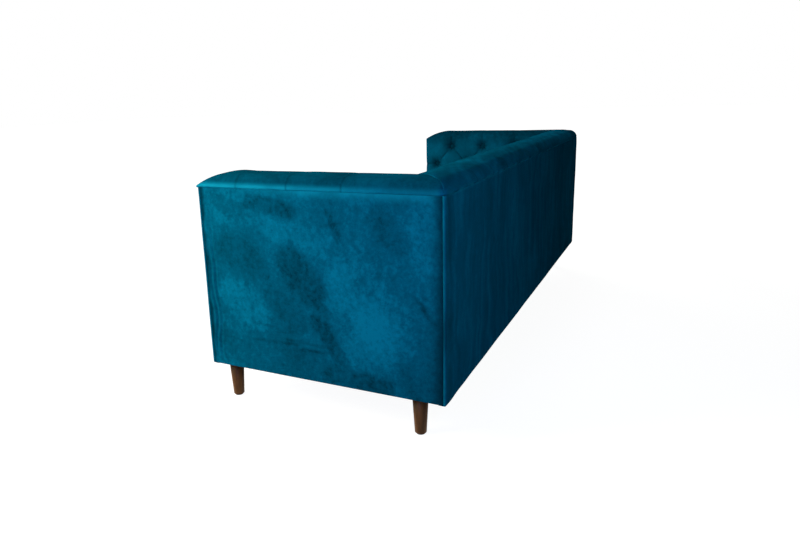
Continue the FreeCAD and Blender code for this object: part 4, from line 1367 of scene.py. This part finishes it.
class SOFA_OT_fronts(bpy.types.Operator):
    """Covers of the arm fronts and of the front rail"""
    bl_idname = "sofa.fronts"
    bl_label = "Fronts"

    def execute(self, context):
        soft = velvet("velvet_fronts", 1.1, {"Patches": 6.0, "Streak Weight": 0.4})
        left = arm_front("arm_front_left", soft)
        right = new_piece("arm_front_right", mirrored_bmesh(left), soft)
        border = front_border("front_border", soft)
        cover(left, ["arm_front_cover_left", "arm_front_pads"])
        cover(right, ["arm_front_cover_right"])
        cover(border, ["front_rail_cover", "front_rail_pad"])
        return {"FINISHED"}


class SOFA_OT_cushions(bpy.types.Operator):
    """Three loose seat cushions"""
    bl_idname = "sofa.cushions"
    bl_label = "Seat cushions"

    def execute(self, context):
        lengthwise = (math.pi / 2, 0, 0)
        soft = velvet("velvet_cushions", 1.1, {"Patches": 4.5, "Streak Weight": 0.35}, lengthwise)
        middle = seat_cushion(soft)
        pitch = (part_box("cushion_cover_3")[0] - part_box("cushion_cover_2")[0]).x
        cushions = {2: middle}
        for number, shift in ((1, -pitch), (3, pitch)):
            bm = bmesh.new()
            bm.from_mesh(middle.data)
            bmesh.ops.translate(bm, vec=(shift, 0, 0), verts=bm.verts)
            cushions[number] = new_piece(f"seat_cushion_{number}", bm, soft)
        for number, piece in sorted(cushions.items()):
            smooth = piece.modifiers.new("smooth", "SUBSURF")
            smooth.levels = 1
            smooth.render_levels = 1
            nodes = [f"cushion_cover_{number}", f"cushion_core_{number}"]
            settle(piece, nodes, f"cushion_{number}")
        return {"FINISHED"}


class SOFA_OT_legs(bpy.types.Operator):
    """Four turned walnut legs"""
    bl_idname = "sofa.legs"
    bl_label = "Legs"

    def execute(self, context):
        tones = context.scene.sofa_wood
        walnut = wood("walnut", tones.dark, tones.light, 420.0, (0.52, 0.38), 0.0002, gloss=0.16)
        for node in ("leg_front_left", "leg_front_right", "leg_rear_left", "leg_rear_right"):
            settle(turned_leg("turned_" + node, node, walnut), [node])
        return {"FINISHED"}


class SOFA_OT_frame(bpy.types.Operator):
    """Finishes of the frame, springs, linings and fasteners"""
    bl_idname = "sofa.frame"
    bl_label = "Frame finishes"

    def execute(self, context):
        finishes = {
            "timber": wood("beech", (0.30, 0.17, 0.085), (0.52, 0.34, 0.19), 260.0, (0.75, 0.60), 0.0003),
            "board": speckled("fibreboard", (0.16, 0.095, 0.05), (0.27, 0.17, 0.10), 900.0, 0.85, 0.0002),
            "steel": speckled(
                "zinc_steel", (0.42, 0.42, 0.43), (0.60, 0.60, 0.60), 500.0, 0.45, 0.00005, metallic=1.0),
            "foam": speckled("foam", (0.62, 0.56, 0.38), (0.80, 0.74, 0.55), 1100.0, 0.95, 0.0006),
            "wadding": speckled("wadding", (0.70, 0.69, 0.66), (0.86, 0.85, 0.82), 350.0, 0.95, 0.0012),
            "felt": speckled("felt", (0.045, 0.043, 0.040), (0.13, 0.12, 0.11), 700.0, 0.95, 0.0006),
            "lining": woven("lining", (0.006, 0.009, 0.012), (0.020, 0.026, 0.032), 620.0, 0.92),
            "webbing": woven("webbing", (0.10, 0.075, 0.045), (0.36, 0.29, 0.20), 330.0, 0.9),
        }
        for part in frame["record"]["subparts"]:
            finish = finishes.get(part["material_slot"])
            if finish:
                mesh = frame["nodes"][part["node"]].data
                mesh.materials.clear()
                mesh.materials.append(finish)
        return {"FINISHED"}


class SOFA_PT_panel(bpy.types.Panel):
    """Lists the pieces and the settings of the sofa"""
    bl_idname = "SOFA_PT_panel"
    bl_label = "Buttoned velvet sofa"
    bl_space_type = "VIEW_3D"
    bl_region_type = "UI"
    bl_category = "Sofa"

    def draw(self, context):
        for operator in OPERATORS:
            self.layout.operator(operator.bl_idname)
        for name, group in SETTINGS.items():
            box = self.layout.box()
            box.label(text=group.__doc__)
            for setting in group.__annotations__:
                box.prop(getattr(context.scene, name), setting)


OPERATORS = (
    SOFA_OT_stage,
    SOFA_OT_frame,
    SOFA_OT_outside,
    SOFA_OT_inside,
    SOFA_OT_buttons,
    SOFA_OT_fronts,
    SOFA_OT_cushions,
    SOFA_OT_legs,
)


def register():
    """Makes the settings, operators and panel known."""
    for group in SETTINGS.values():
        bpy.utils.register_class(group)
    for name, group in SETTINGS.items():
        setattr(bpy.types.Scene, name, PointerProperty(type=group))
    for operator in OPERATORS:
        bpy.utils.register_class(operator)
    bpy.utils.register_class(SOFA_PT_panel)


def unregister():
    """Takes them away again, in reverse."""
    bpy.utils.unregister_class(SOFA_PT_panel)
    for operator in reversed(OPERATORS):
        bpy.utils.unregister_class(operator)
    for name, group in SETTINGS.items():
        delattr(bpy.types.Scene, name)
        bpy.utils.unregister_class(group)


def main():
    """Builds every piece in order."""
    register()
    for call in (
        bpy.ops.sofa.stage,
        bpy.ops.sofa.frame,
        bpy.ops.sofa.outside,
        bpy.ops.sofa.inside,
        bpy.ops.sofa.buttons,
        bpy.ops.sofa.fronts,
        bpy.ops.sofa.cushions,
        bpy.ops.sofa.legs,
    ):
        call()


if __name__ == "__main__":
    main()
